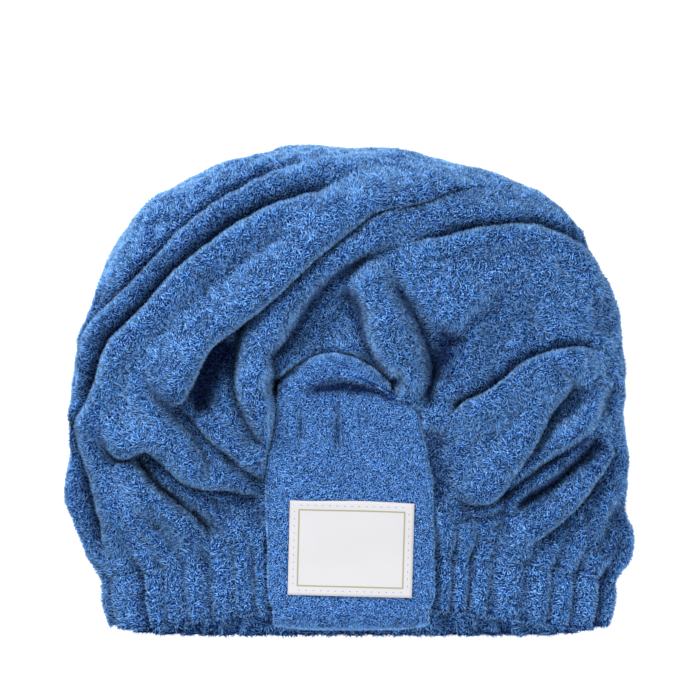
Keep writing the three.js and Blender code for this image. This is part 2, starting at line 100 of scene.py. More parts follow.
def evenPlaces(points, weights, count, closed):
    steps = np.linalg.norm(np.diff(points, axis=0), axis=1) * weights[1:]
    lengths = np.concatenate([[0], np.cumsum(steps)])
    goals = np.linspace(0, lengths[-1], count, endpoint=not closed)
    return np.interp(goals, lengths, np.linspace(0, 1, len(points)))


def smoothLine(path, steps=10):
    points = np.array(path, float)
    points = np.vstack([2 * points[0] - points[1], points, 2 * points[-1] - points[-2]])
    t = np.linspace(0, 1, steps, endpoint=False)[:, None]
    parts = []
    for a, b, c, d in zip(points, points[1:], points[2:], points[3:]):
        bend, twist = 2 * a - 5 * b + 4 * c - d, 3 * b - a - 3 * c + d
        parts.append(0.5 * (2 * b + (c - a) * t + bend * t**2 + twist * t**3))
    return np.vstack([*parts, points[-2:-1]])


# The hem and the crown without its folds, in the same sizes as the CAD
hemSizes = dict(
    width=250, height=44, shift=5, lean=15.5, length=28, thick=7, corner=6, cornerPower=10, round=0.7,
    rows=12, gathers=44, perGather=9, pucker=6.0, scallop=1.6, soft=0.12, shadeFrom=0.7, shadeSpan=1.3,
    insidePile=0.8, insideShade=0.4,
)
hemWaves = dict(  # rows of size, waves round the hem and phase. drift: how far they push the gathers along
    drift=2, place=[(0.8, 5, 1), (0.55, 11, 2)], deepest=1.5, depth=[(0.3, 7, 0.5), (0.25, 16, 0)],
)
crownSizes = dict(
    width=268, length=239, height=79, wall=3, seamGap=0.3, columns=300, rows=150, widestRow=5, samples=4000,
    frontWeight=2.4, frontFullness=2.3, backFullness=3.2, backFlat=1.12, insideLift=0.4, insideShade=0.3,
)
crownSections = [  # along: share of the side view's quarter turn; the rest in shares of half width and height
    dict(along=0.05, left=-0.962, right=1.018, back=0.0, waist=0.26, crest=0.62),
    dict(along=0.10, left=-1.005, right=0.996, back=0.0, waist=0.29, crest=0.69),
    dict(along=0.15, left=-1.018, right=0.998, back=0.0, waist=0.32, crest=0.76),
    dict(along=0.20, left=-1.014, right=1.005, back=0.0, waist=0.34, crest=0.84),
    dict(along=0.30, left=-0.994, right=0.978, back=0.0, waist=0.37, crest=0.93),
    dict(along=0.40, left=-0.948, right=0.980, back=0.0, waist=0.38, crest=0.99),
    dict(along=0.50, left=-0.895, right=0.914, back=0.0, waist=0.39, crest=1.00),
    dict(along=0.60, left=-0.797, right=0.830, back=0.0, waist=0.39, crest=0.95),
    dict(along=0.70, left=-0.660, right=0.686, back=0.0, waist=0.38, crest=0.86),
    dict(along=0.80, left=-0.490, right=0.430, back=0.02, waist=0.36, crest=0.72),
    dict(along=0.90, left=-0.300, right=0.180, back=0.09, waist=0.33, crest=0.54),
    dict(along=1.00, left=-0.075, right=-0.075, back=0.28, waist=0.28, crest=0.28),
]
sides = ("left", "right", "back", "waist", "crest")


def hemSection(inset):
    half = hemSizes["width"] / 2
    return dict(
        left=hemSizes["shift"] - half + inset, right=hemSizes["shift"] + half - inset,
        back=inset, waist=hemSizes["height"] / 2, crest=hemSizes["height"] - inset,
    )


def sectionPoints(section, angle):
    s, c = np.sin(angle), np.cos(angle)
    front = s >= 0
    power = np.where(front, crownSizes["frontFullness"], crownSizes["backFullness"])
    size = (np.abs(c) ** power + np.abs(s) ** power) ** (1 / power)
    middle, half = (section["left"] + section["right"]) / 2, (section["right"] - section["left"]) / 2
    rise = section["waist"] + (section["crest"] - section["waist"]) * s / size
    sink = section["waist"] + (section["waist"] - section["back"]) * s / size * crownSizes["backFlat"]
    return middle + half * c / size, np.where(front, rise, np.maximum(sink, section["back"]))


def hemEdges(angle):
    x, _ = sectionPoints(hemSection(0), angle)
    share = np.minimum(np.abs(x - hemSizes["shift"]) / (hemSizes["width"] / 2), 1)
    arch = np.where(np.sin(angle) > 0, hemSizes["lean"] * (1 - share**2), 0)
    return arch + hemSizes["length"], arch + hemSizes["corner"] * share ** hemSizes["cornerPower"]


crownTable = [dict(along=0, **hemSection(0))]
for row in crownSections:
    scaled = {k: row[k] * crownSizes["width"] / 2 for k in ("left", "right")}
    scaled.update({k: row[k] * crownSizes["height"] for k in ("back", "waist", "crest")})
    crownTable.append(dict(along=row["along"], **scaled))


def crownBase(angle, along):
    section = {side: readTable(crownTable, "along", side, along) for side in sides}
    section["back"] = np.maximum(section["back"], 0)
    x, z = sectionPoints(section, angle)
    seam = hemEdges(angle)[0] + crownSizes["seamGap"]
    y = seam + (crownSizes["length"] - seam) * np.sin(along * math.pi / 2)
    return np.stack([x, y, z], axis=-1)


def crownNormals(angle, along, step=0.01):
    inner = np.minimum(along, 1 - step)
    up = crownBase(angle, np.minimum(along + step, 1 - step)) - crownBase(angle, np.maximum(along - step, 0))
    around = crownBase(angle + step, inner) - crownBase(angle - step, inner)
    normal = np.cross(up, around)
    return normal / np.maximum(np.linalg.norm(normal, axis=-1, keepdims=True), 1e-9)  # none at the pole


# The folds, each along a line over the front, in the photograph's pixels; the rest in mm.
# high: the side that overlies, seen along the path, 1 left and -1 right. rise and roll: height and
# width of that side's roll. crease, groove: depth and width of the valley. lean: how far the roll
# hangs over it. fade: share of the length over which the start and the end run out.
laps = dict(
    upperLeftEdge=dict(high=-1, rise=5, roll=13, crease=6, groove=4, lean=3, fade=(0.12, 0.25), path=[
        (72, 395), (80, 365), (92, 335), (112, 310), (138, 285), (165, 258), (190, 232), (220, 208),
        (262, 182), (300, 165), (340, 157),
    ]),
    secondUpperLeft=dict(high=-1, rise=7, roll=14, crease=7.5, groove=4.5, lean=3, fade=(0.22, 0.20), path=[
        (83, 440), (83, 420), (95, 385), (112, 350), (140, 318), (175, 280), (205, 256), (235, 232),
        (270, 215), (300, 203), (330, 190), (350, 172),
    ]),
    overKnot=dict(high=1, rise=9, roll=17, crease=13, groove=5, lean=7, fade=(0.08, 0.30), path=[
        (168, 408), (175, 395), (188, 370), (205, 340), (235, 317), (262, 296), (300, 261), (340, 226),
        (370, 206), (400, 199), (440, 193), (480, 189), (520, 192),
    ]),
    leftRollInner=dict(high=-1, rise=0, roll=20, crease=7, groove=3.5, lean=0, fade=(0.25, 0.08), path=[
        (440, 240), (400, 244), (375, 252), (355, 262), (338, 273), (325, 284), (310, 301), (297, 322),
        (284, 343), (272, 355), (274, 372), (276, 395), (279, 425), (276, 447),
    ]),
    leftRollOuter=dict(high=1, rise=0, roll=10, crease=9, groove=3.2, lean=0, fade=(0.12, 0.15), path=[
        (256, 303), (248, 322), (240, 345), (237, 370), (239, 395), (246, 415), (256, 435), (268, 450),
    ]),
    rightRollInner=dict(high=1, rise=0, roll=27, crease=7, groove=4, lean=0, fade=(0.15, 0.10), path=[
        (336, 283), (350, 293), (358, 303), (363, 316), (364, 332), (369, 347), (378, 362), (387, 377),
        (391, 390),
    ]),
    panelTop=dict(high=-1, rise=5, roll=12, crease=6, groove=4, lean=2.5, fade=(0.25, 0.45), path=[
        (395, 248), (420, 243), (445, 241), (480, 234), (513, 229), (540, 230), (564, 240), (585, 256),
        (603, 275), (615, 296), (621, 318),
    ]),
    lobeTop=dict(high=-1, rise=8, roll=16, crease=6, groove=4.5, lean=4, fade=(0.10, 0.20), path=[
        (446, 418), (470, 405), (490, 395), (508, 383), (520, 372), (535, 362), (550, 356), (570, 353),
        (590, 353), (606, 354),
    ]),
    lobeDeep=dict(high=-1, rise=5, roll=11, crease=20, groove=4.6, lean=7, fade=(0.06, 0.25), path=[
        (562, 374), (556, 388), (543, 405), (530, 425), (517, 445), (508, 460), (500, 473), (491, 486),
        (478, 494), (462, 497), (448, 490),
    ]),
    ribFoot=dict(high=-1, rise=0, roll=8, crease=5, groove=3, lean=1.5, fade=(0.30, 0.20), path=[
        (520, 492), (500, 505), (480, 512), (463, 516), (459, 530),
    ]),
    rightAboveHem=dict(high=-1, rise=4, roll=10, crease=10, groove=4, lean=4, fade=(0.10, 0.20), path=[
        (614, 442), (604, 458), (592, 474), (580, 492), (566, 509), (550, 522), (537, 534), (525, 548),
    ]),
    acrossLeftPanel=dict(high=-1, rise=5, roll=13, crease=4, groove=6, lean=1, fade=(0.25, 0.15), path=[
        (139, 362), (148, 385), (162, 408), (180, 425), (196, 443), (205, 462), (212, 478),
    ]),
    leftPanelFoot=dict(high=1, rise=5, roll=14, crease=8, groove=4.2, lean=2.5, fade=(0.2, 0.08), path=[
        (97, 436), (105, 443), (112, 450), (122, 457), (132, 453), (142, 448), (152, 449), (160, 457),
        (175, 470), (188, 480), (205, 484), (222, 485), (242, 490), (264, 497),
    ]),
    leftOfStrap=dict(high=1, rise=5, roll=11, crease=8, groove=3.5, lean=2, fade=(0.10, 0.08), path=[
        (172, 398), (190, 412), (203, 427), (215, 440), (230, 452), (245, 465), (268, 480),
    ]),
    leftAboveHem=dict(high=-1, rise=6, roll=14, crease=16, groove=5, lean=2, fade=(0.05, 0.12), path=[
        (128, 456), (138, 470), (148, 482), (158, 492), (168, 500), (180, 510), (192, 520), (203, 531),
        (214, 548),
    ]),
    leftCorner=dict(high=-1, rise=2.5, roll=9, crease=3, groove=4, lean=0.5, fade=(0.25, 0.25), path=[
        (127, 508), (150, 525), (165, 540), (178, 553), (190, 572),
    ]),
    leftBackLayer=dict(high=1, rise=5, roll=12, crease=11, groove=6, lean=3, fade=(0.15, 0.12), path=[
        (80, 408), (84, 430), (87, 455), (92, 478), (98, 500), (104, 518), (107, 540), (107, 562),
    ]),
)
ridges = dict(  # plain ridges and, with a negative rise, valleys
    topBand=dict(rise=5, roll=7, fade=(0.2, 0.25), path=[
        (340, 238), (370, 222), (400, 213), (440, 210), (480, 212), (520, 215), (550, 224),
    ]),
    rightRollOuter=dict(rise=-7, roll=4.5, fade=(0.25, 0.12), path=[
        (372, 266), (388, 281), (402, 299), (414, 318), (423, 337), (430, 358), (431, 375), (427, 392),
        (416, 408),
    ]),
    besideRightRoll=dict(rise=-7, roll=9, fade=(0.25, 0.2), path=[
        (455, 322), (448, 345), (438, 365), (430, 388),
    ]),
    panelRidge=dict(rise=3.5, roll=7, fade=(0.3, 0.25), path=[
        (482, 328), (466, 345), (455, 362), (446, 380), (438, 398),
    ]),
    panelDish=dict(rise=-6.5, roll=26, fade=(0.25, 0.25), path=[(470, 300), (510, 330), (560, 320)]),
    panelWrinkleLeft=dict(rise=-1.5, roll=2.6, fade=(0.25, 0.25), path=[
        (437, 243), (443, 262), (448, 284),
    ]),
    panelWrinkleSlanted=dict(rise=-1.5, roll=2.6, fade=(0.25, 0.25), path=[
        (462, 270), (478, 283), (487, 298), (492, 312),
    ]),
    panelWrinkleMiddle=dict(rise=-2, roll=2.6, fade=(0.2, 0.25), path=[
        (519, 258), (524, 284), (527, 302), (531, 322), (535, 348),
    ]),
    panelWrinkleRight=dict(rise=-1.2, roll=2.4, fade=(0.3, 0.3), path=[(548, 258), (560, 270), (570, 280)]),
    insidePanelEdge=dict(rise=-3, roll=6, fade=(0.25, 0.25), path=[
        (592, 292), (600, 305), (602, 325), (600, 342),
    ]),
    lobeTipCrease=dict(rise=-4.5, roll=3, fade=(0.2, 0.2), path=[
        (444, 401), (460, 402), (475, 398), (488, 392),
    ]),
    ribUpper=dict(rise=6.5, roll=5, fade=(0.2, 0.2), path=[
        (604, 372), (596, 395), (577, 425), (556, 443), (535, 460), (518, 476), (498, 490), (478, 500),
        (460, 504),
    ]),
    ribGroove=dict(rise=-7.5, roll=2.8, fade=(0.15, 0.15), path=[
        (596, 424), (578, 441), (560, 455), (541, 468), (522, 482), (505, 493), (486, 503),
    ]),
    ribLower=dict(rise=5, roll=4.2, fade=(0.15, 0.15), path=[
        (600, 425), (585, 440), (566, 456), (545, 475), (520, 491), (500, 502), (480, 509), (463, 513),
    ]),
    belowRibs=dict(rise=-8.5, roll=3.8, fade=(0.15, 0.2), path=[
        (602, 430), (588, 448), (570, 467), (548, 486), (524, 500), (505, 510),
    ]),
    rightToHem=dict(rise=-4, roll=3.5, fade=(0.2, 0.3), path=[
        (501, 519), (494, 530), (488, 545), (485, 562),
    ]),
    rightEdgeFold=dict(rise=4, roll=4, fade=(0.2, 0.2), path=[
        (619, 478), (610, 495), (603, 510), (597, 526), (591, 542), (583, 560),
    ]),
    rightEdgeGroove=dict(rise=-5, roll=4, fade=(0.2, 0.2), path=[
        (628, 496), (614, 512), (606, 528), (602, 545), (601, 568),
    ]),
    rightEdgeStep=dict(rise=-5, roll=3, fade=(0.2, 0.2), path=[
        (617, 383), (610, 393), (605, 405), (602, 418),
    ]),
    leftStrapValley=dict(rise=-4, roll=7, fade=(0.2, 0.3), path=[(262, 455), (258, 500), (260, 545)]),
    rightStrapValley=dict(rise=-5, roll=8, fade=(0.2, 0.3), path=[(432, 420), (438, 470), (440, 520)]),
    underOverKnot=dict(rise=-8, roll=9, fade=(0.2, 0.2), path=[
        (232, 330), (220, 352), (207, 378), (200, 400), (190, 408),
    ]),
    betweenLeftCreases=dict(rise=7, roll=5.5, fade=(0.2, 0.3), path=[
        (140, 464), (158, 475), (178, 489), (200, 503), (222, 518), (240, 535),
    ]),
    besideLeftBand=dict(rise=-3, roll=3.5, fade=(0.3, 0.3), path=[(205, 492), (222, 508), (236, 528)]),
    smallLobe=dict(rise=-3, roll=2.8, fade=(0.25, 0.3), path=[
        (188, 270), (202, 277), (210, 292), (212, 312),
    ]),
    topWrinkle=dict(rise=-2.5, roll=2.6, fade=(0.3, 0.3), path=[(352, 170), (345, 182), (335, 195)]),
    topSeam=dict(rise=-2.2, roll=2.4, fade=(0.25, 0.25), path=[
        (330, 160), (355, 152), (385, 151), (420, 157),
    ]),
    leftPanelDent=dict(rise=-4, roll=3, fade=(0.25, 0.25), path=[(98, 433), (108, 446), (118, 458)]),
    leftHemWrinkle=dict(rise=-2.5, roll=3, fade=(0.3, 0.3), path=[(160, 545), (168, 560), (174, 580)]),
)
rolls = dict(  # round rolls of cloth about the knot, by their middle lines. half: half of the width
    leftRoll=dict(rise=9, half=9.5, fade=(0.3, 0.12), path=[
        (440, 226), (400, 231), (362, 243), (332, 258), (304, 280), (280, 306), (262, 338), (255, 368),
        (258, 398), (263, 420), (272, 444),
    ]),
    rightRoll=dict(rise=13, half=11.3, fade=(0.12, 0.15), path=[
        (354, 271), (371, 289), (383, 307), (390, 324), (396, 342), (403, 360), (408, 376), (409, 396),
    ]),
)
folds = dict(  # how boldly the laps stand out; high and low are the two sides of a crease
    rise=1.35, crease=1.2, lean=1.4, slope=0.35, slopeReach=3.2, leave=20, floor=12, top=0.4, sharp=1.5,
    highGroove=0.5, highShade=0.6, lowShade=1.5, shadeDepth=7, wide=12, wideShadeDepth=20, shadePower=1.4,
)
# The well inside the knot
hollow = dict(middle=(325, 330), across=17, along=19, deep=18, steep=1.6, shade=0.12)
# The hem's gathers, running out up the crown; fewer of them show left of the strap
pleats = dict(
    depth=3.4, start=9, fade=30, wobble=0.015, wobbleStep=9, wobbleTurns=7, wobbleFade=15,
    leftShare=0.35, leftEnd=-25, rightStart=35,
)
# The pile stands this far above the floor, thins out towards it and, a little, in the creases
standRoom = dict(low=2.2, fade=1.5, creaseThin=0.2)
# From which rise of the normal on, and over which span of it, a place carries folds, relief and pile
facings = dict(fold=0.6, reliefFrom=-0.5, relief=0.6, pileFrom=-0.9, pile=0.2)
wander = dict(  # cloth is never quite even
    small=0.55, large=1.4, smallStep=12, largeStep=37, shortest=0.7, longest=1.5, waves=14, seed=4,
)


def foldPlace(line, x, y):
    best = np.full(x.shape, 1e9)
    side, share = np.ones(x.shape), np.zeros(x.shape)
    toX, toY = np.zeros(x.shape), np.zeros(x.shape)
    runs = np.diff(line, axis=0)
    total = len(runs)
    for i, (run, start) in enumerate(zip(runs, line)):
        t = np.clip(((x - start[0]) * run[0] + (y - start[1]) * run[1]) / (run @ run), 0, 1)
        dx, dy = x - start[0] - run[0] * t, y - start[1] - run[1] * t
        distance = np.hypot(dx, dy)
        near = distance < best
        best = np.where(near, distance, best)
        side = np.where(near, np.sign(run[0] * dy - run[1] * dx), side)
        share = np.where(near, (i + t) / total, share)
        toX, toY = np.where(near, dx, toX), np.where(near, dy, toY)
    away = np.maximum(best, 1e-6)
    return best, side, share, toX / away, toY / away


def rollShape(t):  # steep on the crease's side, round on top, then a long fall
    top = folds["top"]
    rise = np.sqrt(np.clip(1 - (1 - np.clip(t / top, 0, 1)) ** 2, 0, 1))
    fall = 1 - smoothStep((t - top) / (1 - top))
    return np.where(t < top, rise, fall)


def alongFold(fold, x, y):  # the distance to its line, the side of it, its strength and the way off it
    distance, side, share, awayX, awayY = foldPlace(smoothLine(fromPhoto(fold["path"])), x, y)
    strength = smoothStep(share / fold["fade"][0]) * smoothStep((1 - share) / fold["fade"][1])
    return distance, side, strength, awayX, awayY


def foldField(x, y):  # height, sideways shift, and painted shade from 0 to 1, stronger the deeper in a crease, dish or the well a place lies
    height, shiftX, shiftY, paintedShade = (np.zeros(x.shape) for _ in range(4))
    for lap in laps.values():
        distance, side, strength, awayX, awayY = alongFold(lap, x, y)
        isHigh = side * lap["high"] > 0
        crease = strength * lap["crease"] * folds["crease"]
        roll = rollShape(distance / lap["roll"])
        height += np.where(isHigh, strength * lap["rise"] * folds["rise"] * roll, 0)
        tight = np.where(isHigh, folds["highGroove"], 1) * lap["groove"]
        height -= crease * np.exp(-((distance / tight) ** folds["sharp"]))
        slope = folds["slope"] * np.exp(-((distance / lap["groove"] / folds["slopeReach"]) ** 2))
        height -= np.where(isHigh, 0, crease * slope)
        # painted shade along each crease, reaching further on its low side
        reach = np.where(isHigh, folds["highShade"], folds["lowShade"]) * lap["groove"]
        shade = np.exp(-((distance / reach) ** folds["sharp"]))
        paintedShade = np.maximum(paintedShade, np.minimum(crease / folds["shadeDepth"], 1) * shade)
        hang = np.where(isHigh, strength * lap["lean"] * roll * (1 - smoothStep(distance / lap["roll"])), 0)
        shiftX -= folds["lean"] * hang * awayX
        shiftY -= folds["lean"] * hang * awayY
    for ridge in ridges.values():
        distance, _, strength, _, _ = alongFold(ridge, x, y)
        shape = strength * ridge["rise"] * np.exp(-((distance / ridge["roll"]) ** 2))
        height += folds["rise"] * shape
        # Painted shade in the valleys: a wide dish gets less of it than a narrow crease
        depth = folds["shadeDepth"] if ridge["roll"] < folds["wide"] else folds["wideShadeDepth"]
        paintedShade = np.maximum(paintedShade, np.clip(-shape / depth, 0, 1))
    for roll in rolls.values():
        distance, _, strength, _, _ = alongFold(roll, x, y)
        height += strength * roll["rise"] * np.sqrt(np.clip(1 - (distance / roll["half"]) ** 2, 0, 1))
    wellX, wellY = fromPhoto([hollow["middle"]])[0]
    well = np.hypot((x - wellX) / hollow["across"], (y - wellY) / hollow["along"])
    inWell = np.exp(-(well ** (2 * hollow["steep"])))
    height -= hollow["deep"] * inWell
    # painted shade in the well
    paintedShade = np.maximum(paintedShade, hollow["shade"] * inWell)
    return height, shiftX, shiftY, paintedShade ** folds["shadePower"]


def wanderField(x, y, z):
    rng = np.random.default_rng(wander["seed"])
    total = np.zeros(x.shape)
    for depth, step in ((wander["small"], wander["smallStep"]), (wander["large"], wander["largeStep"])):
        for _ in range(wander["waves"]):
            turn, lift, phase = rng.uniform(0, 2 * math.pi, 3)
            rate = 2 * math.pi / (step * rng.uniform(wander["shortest"], wander["longest"]))
            flow = (x * math.cos(turn) + y * math.sin(turn) + z * math.cos(lift)) * rate
            total += depth * np.sin(flow + phase) / math.sqrt(wander["waves"])
    return total


# The strap's side view and edges, as in the CAD
strapSizes = dict(
    width=79, thick=5, shift=1.2, reach=136, tuck=20, rollRadius=7, dive=8, high=0.87, shoulder=117,
    wrapRoom=1.4, edgeThin=0.45, edgeSink=0.35, insidePile=0.85, shadeDepth=3.5, rows=90, columns=64,
    crease=5, creaseUp=0.95, creaseHalf=3.2, creaseFrom=-0.75, creaseFromFade=0.5, creaseTo=1.1,
    creaseToFade=0.4, pressGap=0.9, pressReach=2.2, pressSlope=4.5,
)
strapSections = [
    dict(up=0.00, left=-0.93, right=0.93, rise=0.00, bow=0.0),
    dict(up=0.05, left=-0.99, right=1.00, rise=0.02, bow=0.0),
    dict(up=0.20, left=-1.00, right=1.00, rise=0.10, bow=0.0),
    dict(up=0.35, left=-1.01, right=0.99, rise=0.24, bow=0.0),
    dict(up=0.50, left=-1.02, right=0.97, rise=0.42, bow=0.0),
    dict(up=0.62, left=-0.98, right=0.91, rise=0.58, bow=0.02),
    dict(up=0.74, left=-0.90, right=0.83, rise=0.76, bow=0.04),
    dict(up=0.84, left=-0.88, right=0.77, rise=0.90, bow=0.07),
    dict(up=0.93, left=-0.88, right=0.56, rise=1.00, bow=0.13),
]
strapRoll = dict(left=-0.87, right=0.46, bow=0.16)
hemDepth = hemSizes["thick"] + strapSizes["wrapRoom"]
hemMiddle = hemSizes["height"] - hemDepth / 2
wrapRadius = hemDepth / 2 + crownSizes["seamGap"] + strapSizes["thick"] / 2
rollTop = strapSizes["high"] * crownSizes["height"] - strapSizes["thick"] / 2


def hemDrop(x):
    power = crownSizes["frontFullness"]
    share = np.minimum(np.abs(x - hemSizes["shift"]) / (hemSizes["width"] / 2), 1)
    return hemSizes["height"] / 2 * ((1 - share**power) ** (1 / power) - 1)


def strapLine(rows):  # places along the strap: y, z, its left and right edge and its bow
    lean, radius = hemSizes["lean"], strapSizes["rollRadius"]
    stations = []
    hem = [strapSections[0]["left"], strapSections[0]["right"], 0]
    for y in np.linspace(lean + strapSizes["tuck"], lean, rows // 5)[:-1]:
        stations.append([y, hemMiddle - wrapRadius, *hem])
    for turn in np.linspace(0, math.pi, rows // 5)[:-1]:
        stations.append([lean - wrapRadius * math.sin(turn), hemMiddle - wrapRadius * math.cos(turn), *hem])
    climbEnd = strapSizes["reach"] - radius
    start = hemMiddle + wrapRadius
    for t in np.linspace(0, 1, rows):
        up = np.array(t * strapSections[-1]["up"])
        left, right, rise, bow = (
            float(readTable(strapSections, "up", name, up)) for name in ("left", "right", "rise", "bow")
        )
        stations.append([lean + t * (climbEnd - lean), start + (rollTop - start) * rise, left, right, bow])
    edge = [strapRoll[name] for name in ("left", "right", "bow")]
    for turn in np.linspace(0, math.pi / 2, rows // 6)[1:]:
        stations.append([climbEnd + radius * math.sin(turn), rollTop - radius * (1 - math.cos(turn)), *edge])
    for drop in np.linspace(0, strapSizes["dive"], rows // 10)[1:]:
        stations.append([strapSizes["reach"], rollTop - radius - drop, *edge])
    return np.array(stations)


pressRows = 36  # a coarse line of stations is enough here
pressStart = 14  # the first station above the hem


def pressLevel(x, y):  # how high the crown may stand under and beside the strap
    level = np.full(x.shape, 1e9)
    reach = strapSizes["pressReach"]
    halfWidth = strapSizes["width"] / 2
    for stationY, z, left, right, bow in strapLine(pressRows)[pressStart:]:
        if stationY > strapSizes["shoulder"]:  # here the knot's right roll lies over the strap's edge
            right = min(right, strapRoll["right"])
        across = (x - strapSizes["shift"]) / halfWidth
        aside = np.maximum(np.maximum(left - across, across - right) * halfWidth - reach, 0)
        fromMiddle = np.clip((2 * across - left - right) / (right - left), -1, 1)
        behind = np.abs(y - stationY + bow * strapSizes["width"] * fromMiddle**2)
        under = z + hemDrop(x) - strapSizes["thick"] / 2 - strapSizes["pressGap"]
        away = np.hypot(aside, np.maximum(behind - reach, 0))
        level = np.minimum(level, under + strapSizes["pressSlope"] * away)
    return level


# Under the strap the crown is bare, up to this far inside the strap's edges and end
bareRim = dict(shoulder=4, right=0.2, edge=3, along=4, end=12)


def coveredByStrap(x, y):
    covered = np.zeros(x.shape, bool)
    end = strapSizes["reach"] - bareRim["end"]
    for stationY, _, left, right, _ in strapLine(pressRows)[pressStart:]:
        if stationY > strapSizes["shoulder"] - bareRim["shoulder"]:
            right = min(right, strapRoll["right"] - bareRim["right"])
        edgeLeft = strapSizes["shift"] + left * strapSizes["width"] / 2 + bareRim["edge"]
        edgeRight = strapSizes["shift"] + right * strapSizes["width"] / 2 - bareRim["edge"]
        covered |= (x > edgeLeft) & (x < edgeRight) & (np.abs(y - stationY) < bareRim["along"]) & (y < end)
    return covered


def makeObject(name, bm, collection=None, smooth=True):
    mesh = bpy.data.meshes.new(name)
    bm.to_mesh(mesh)
    bm.free()
    if smooth:
        mesh.shade_smooth()
    piece = bpy.data.objects.new(name, mesh)
    (collection or bpy.context.scene.collection).objects.link(piece)
    return piece


# Meshes from grids of points
def gridPiece(name, points, values, closeRound, closeEnds):
    rows, columns = points.shape[:2]
    bm = bmesh.new()
    layers = {key: bm.verts.layers.float.new(key) for key in values}
    bmesh.ops.create_grid(bm, x_segments=columns - (0 if closeRound else 1), y_segments=rows - 1, size=1)
    width = columns + (1 if closeRound else 0)
    bm.verts.ensure_lookup_table()
    order = sorted(bm.verts, key=lambda vert: (round(vert.co.y, 6), round(vert.co.x, 6)))
    for place, vert in enumerate(order):
        row, column = divmod(place, width)
        vert.co = Vector(points[row, column % columns]) * mm
        for key, layer in layers.items():
            vert[layer] = float(values[key][row, column % columns])
    bmesh.ops.remove_doubles(bm, verts=bm.verts, dist=1e-6)
    if closeEnds:
        bmesh.ops.holes_fill(bm, edges=[e for e in bm.edges if e.is_boundary])
    bmesh.ops.recalc_face_normals(bm, faces=bm.faces)
    return makeObject(name, bm)


def settle(points):  # from the tables' millimetres to the part's, still in mm
    moved = points.copy()
    moved[..., 1] += hemY
    return moved


def aboveFloor(z):
    return smoothStep((z - standRoom["low"]) / standRoom["fade"])


def makeCrown():
    turns = np.linspace(0, 2 * math.pi, crownSizes["samples"])
    x, z = sectionPoints(crownTable[crownSizes["widestRow"]], turns)
    weights = np.where(turns < math.pi, crownSizes["frontWeight"], 1)
    angles = evenPlaces(np.stack([x, z], axis=-1), weights, crownSizes["columns"], True) * 2 * math.pi
    climb = np.linspace(0, 1, crownSizes["samples"])
    spine = crownBase(np.full(climb.shape, math.pi / 2), climb)
    places = evenPlaces(spine, np.ones(climb.shape), crownSizes["rows"], False)
    angle, along = np.meshgrid(angles, places)
    base, normal = crownBase(angle, along), crownNormals(angle, along)
    up = base[..., 1] - hemEdges(angle)[0]
    facing = smoothStep(normal[..., 2] / facings["fold"])
    folded = facing * smoothStep(up / folds["leave"])
    height, shiftX, shiftY, paintedShade = foldField(base[..., 0], base[..., 1])
    # The gathers at the hem, and how far they run out up the crown
    wobble = pleats["wobble"] * np.sin(up / pleats["wobbleStep"] + pleats["wobbleTurns"] * angle)
    wave = hemWave(angle + wobble * smoothStep(up / pleats["wobbleFade"]))
    atHem = np.exp(-((up / pleats["start"]) ** 2))
    gather = (wave - 1) / 2 * hemSizes["pucker"] * atHem
    across = (base[..., 0] - pleats["leftEnd"]) / (pleats["rightStart"] - pleats["leftEnd"])
    showing = pleats["leftShare"] + (1 - pleats["leftShare"]) * smoothStep(across)
    showing *= (1 - atHem) * np.exp(-((up / pleats["fade"]) ** 2))
    gather += wave * pleats["depth"] * showing
    loose = wanderField(base[..., 0], base[..., 1], base[..., 2]) * smoothStep(up / pleats["fade"])
    relief = smoothStep((normal[..., 2] - facings["reliefFrom"]) / facings["relief"]) * (gather + loose)
    lift = folded * height
    # painted shade in the creases and in the valleys between the hem's gathers; the inner skin gets an even
    # painted shade
    shade = np.maximum(folded * paintedShade, hemShade(wave) * np.maximum(showing, atHem))
    skins = []  # the outer one, then the inner one
    for depth in (0, crownSizes["wall"]):
        points = base + normal * (relief - depth)[..., None]
        points[..., 0] += folded * shiftX
        points[..., 1] += folded * shiftY
        room = np.minimum(folds["floor"] - points[..., 2], 0)
        points[..., 2] += np.where(lift < 0, np.maximum(lift, room), lift)
        points[..., 2] = np.maximum(points[..., 2], crownSizes["insideLift"] * depth)
        level = pressLevel(points[..., 0], points[..., 1]) - depth
        points[..., 2] = np.where(normal[..., 2] > 0, np.minimum(points[..., 2], level), points[..., 2])
        points[-1] = base[-1] - [0, depth, 0]
        skins.append(points)
    bare = coveredByStrap(skins[0][..., 0], skins[0][..., 1])
    upright = smoothStep((normal[..., 2] - facings["pileFrom"]) / facings["pile"])
    standing = upright * aboveFloor(skins[0][..., 2])
    outer = np.where(bare, 0, standing) * (1 - standRoom["creaseThin"] * paintedShade * facing)
    # The inner skin has half the rows
    inside = np.unique(np.append(np.arange(0, crownSizes["rows"], 2), crownSizes["rows"] - 1))
    grid = np.vstack([skins[0][::-1], skins[1][inside]])
    blank = np.zeros((len(inside), len(angles)))
    values = dict(
        pileShare=np.vstack([outer[::-1], blank]),
        paintedShade=np.vstack([shade[::-1], blank + crownSizes["insideShade"]]),
    )
    return gridPiece("crownCloth", settle(grid), values, True, False)


def addWaves(rows, sweep, level=0):
    return sum((size * np.sin(count * sweep + phase) for size, count, phase in rows), level)


def hemWave(angle):  # the gathers round the hem: round puckers with sharp valleys, not all alike
    sweep = roundShare(angle) * 2 * math.pi
    uneven = hemWaves["drift"] * addWaves(hemWaves["place"], sweep)
    pucker = np.sqrt(np.sin((hemSizes["gathers"] * sweep + uneven) / 2) ** 2 + hemSizes["soft"] ** 2)
    return 1 - np.maximum(1 - pucker, 0) * addWaves(hemWaves["depth"], sweep, hemWaves["deepest"])


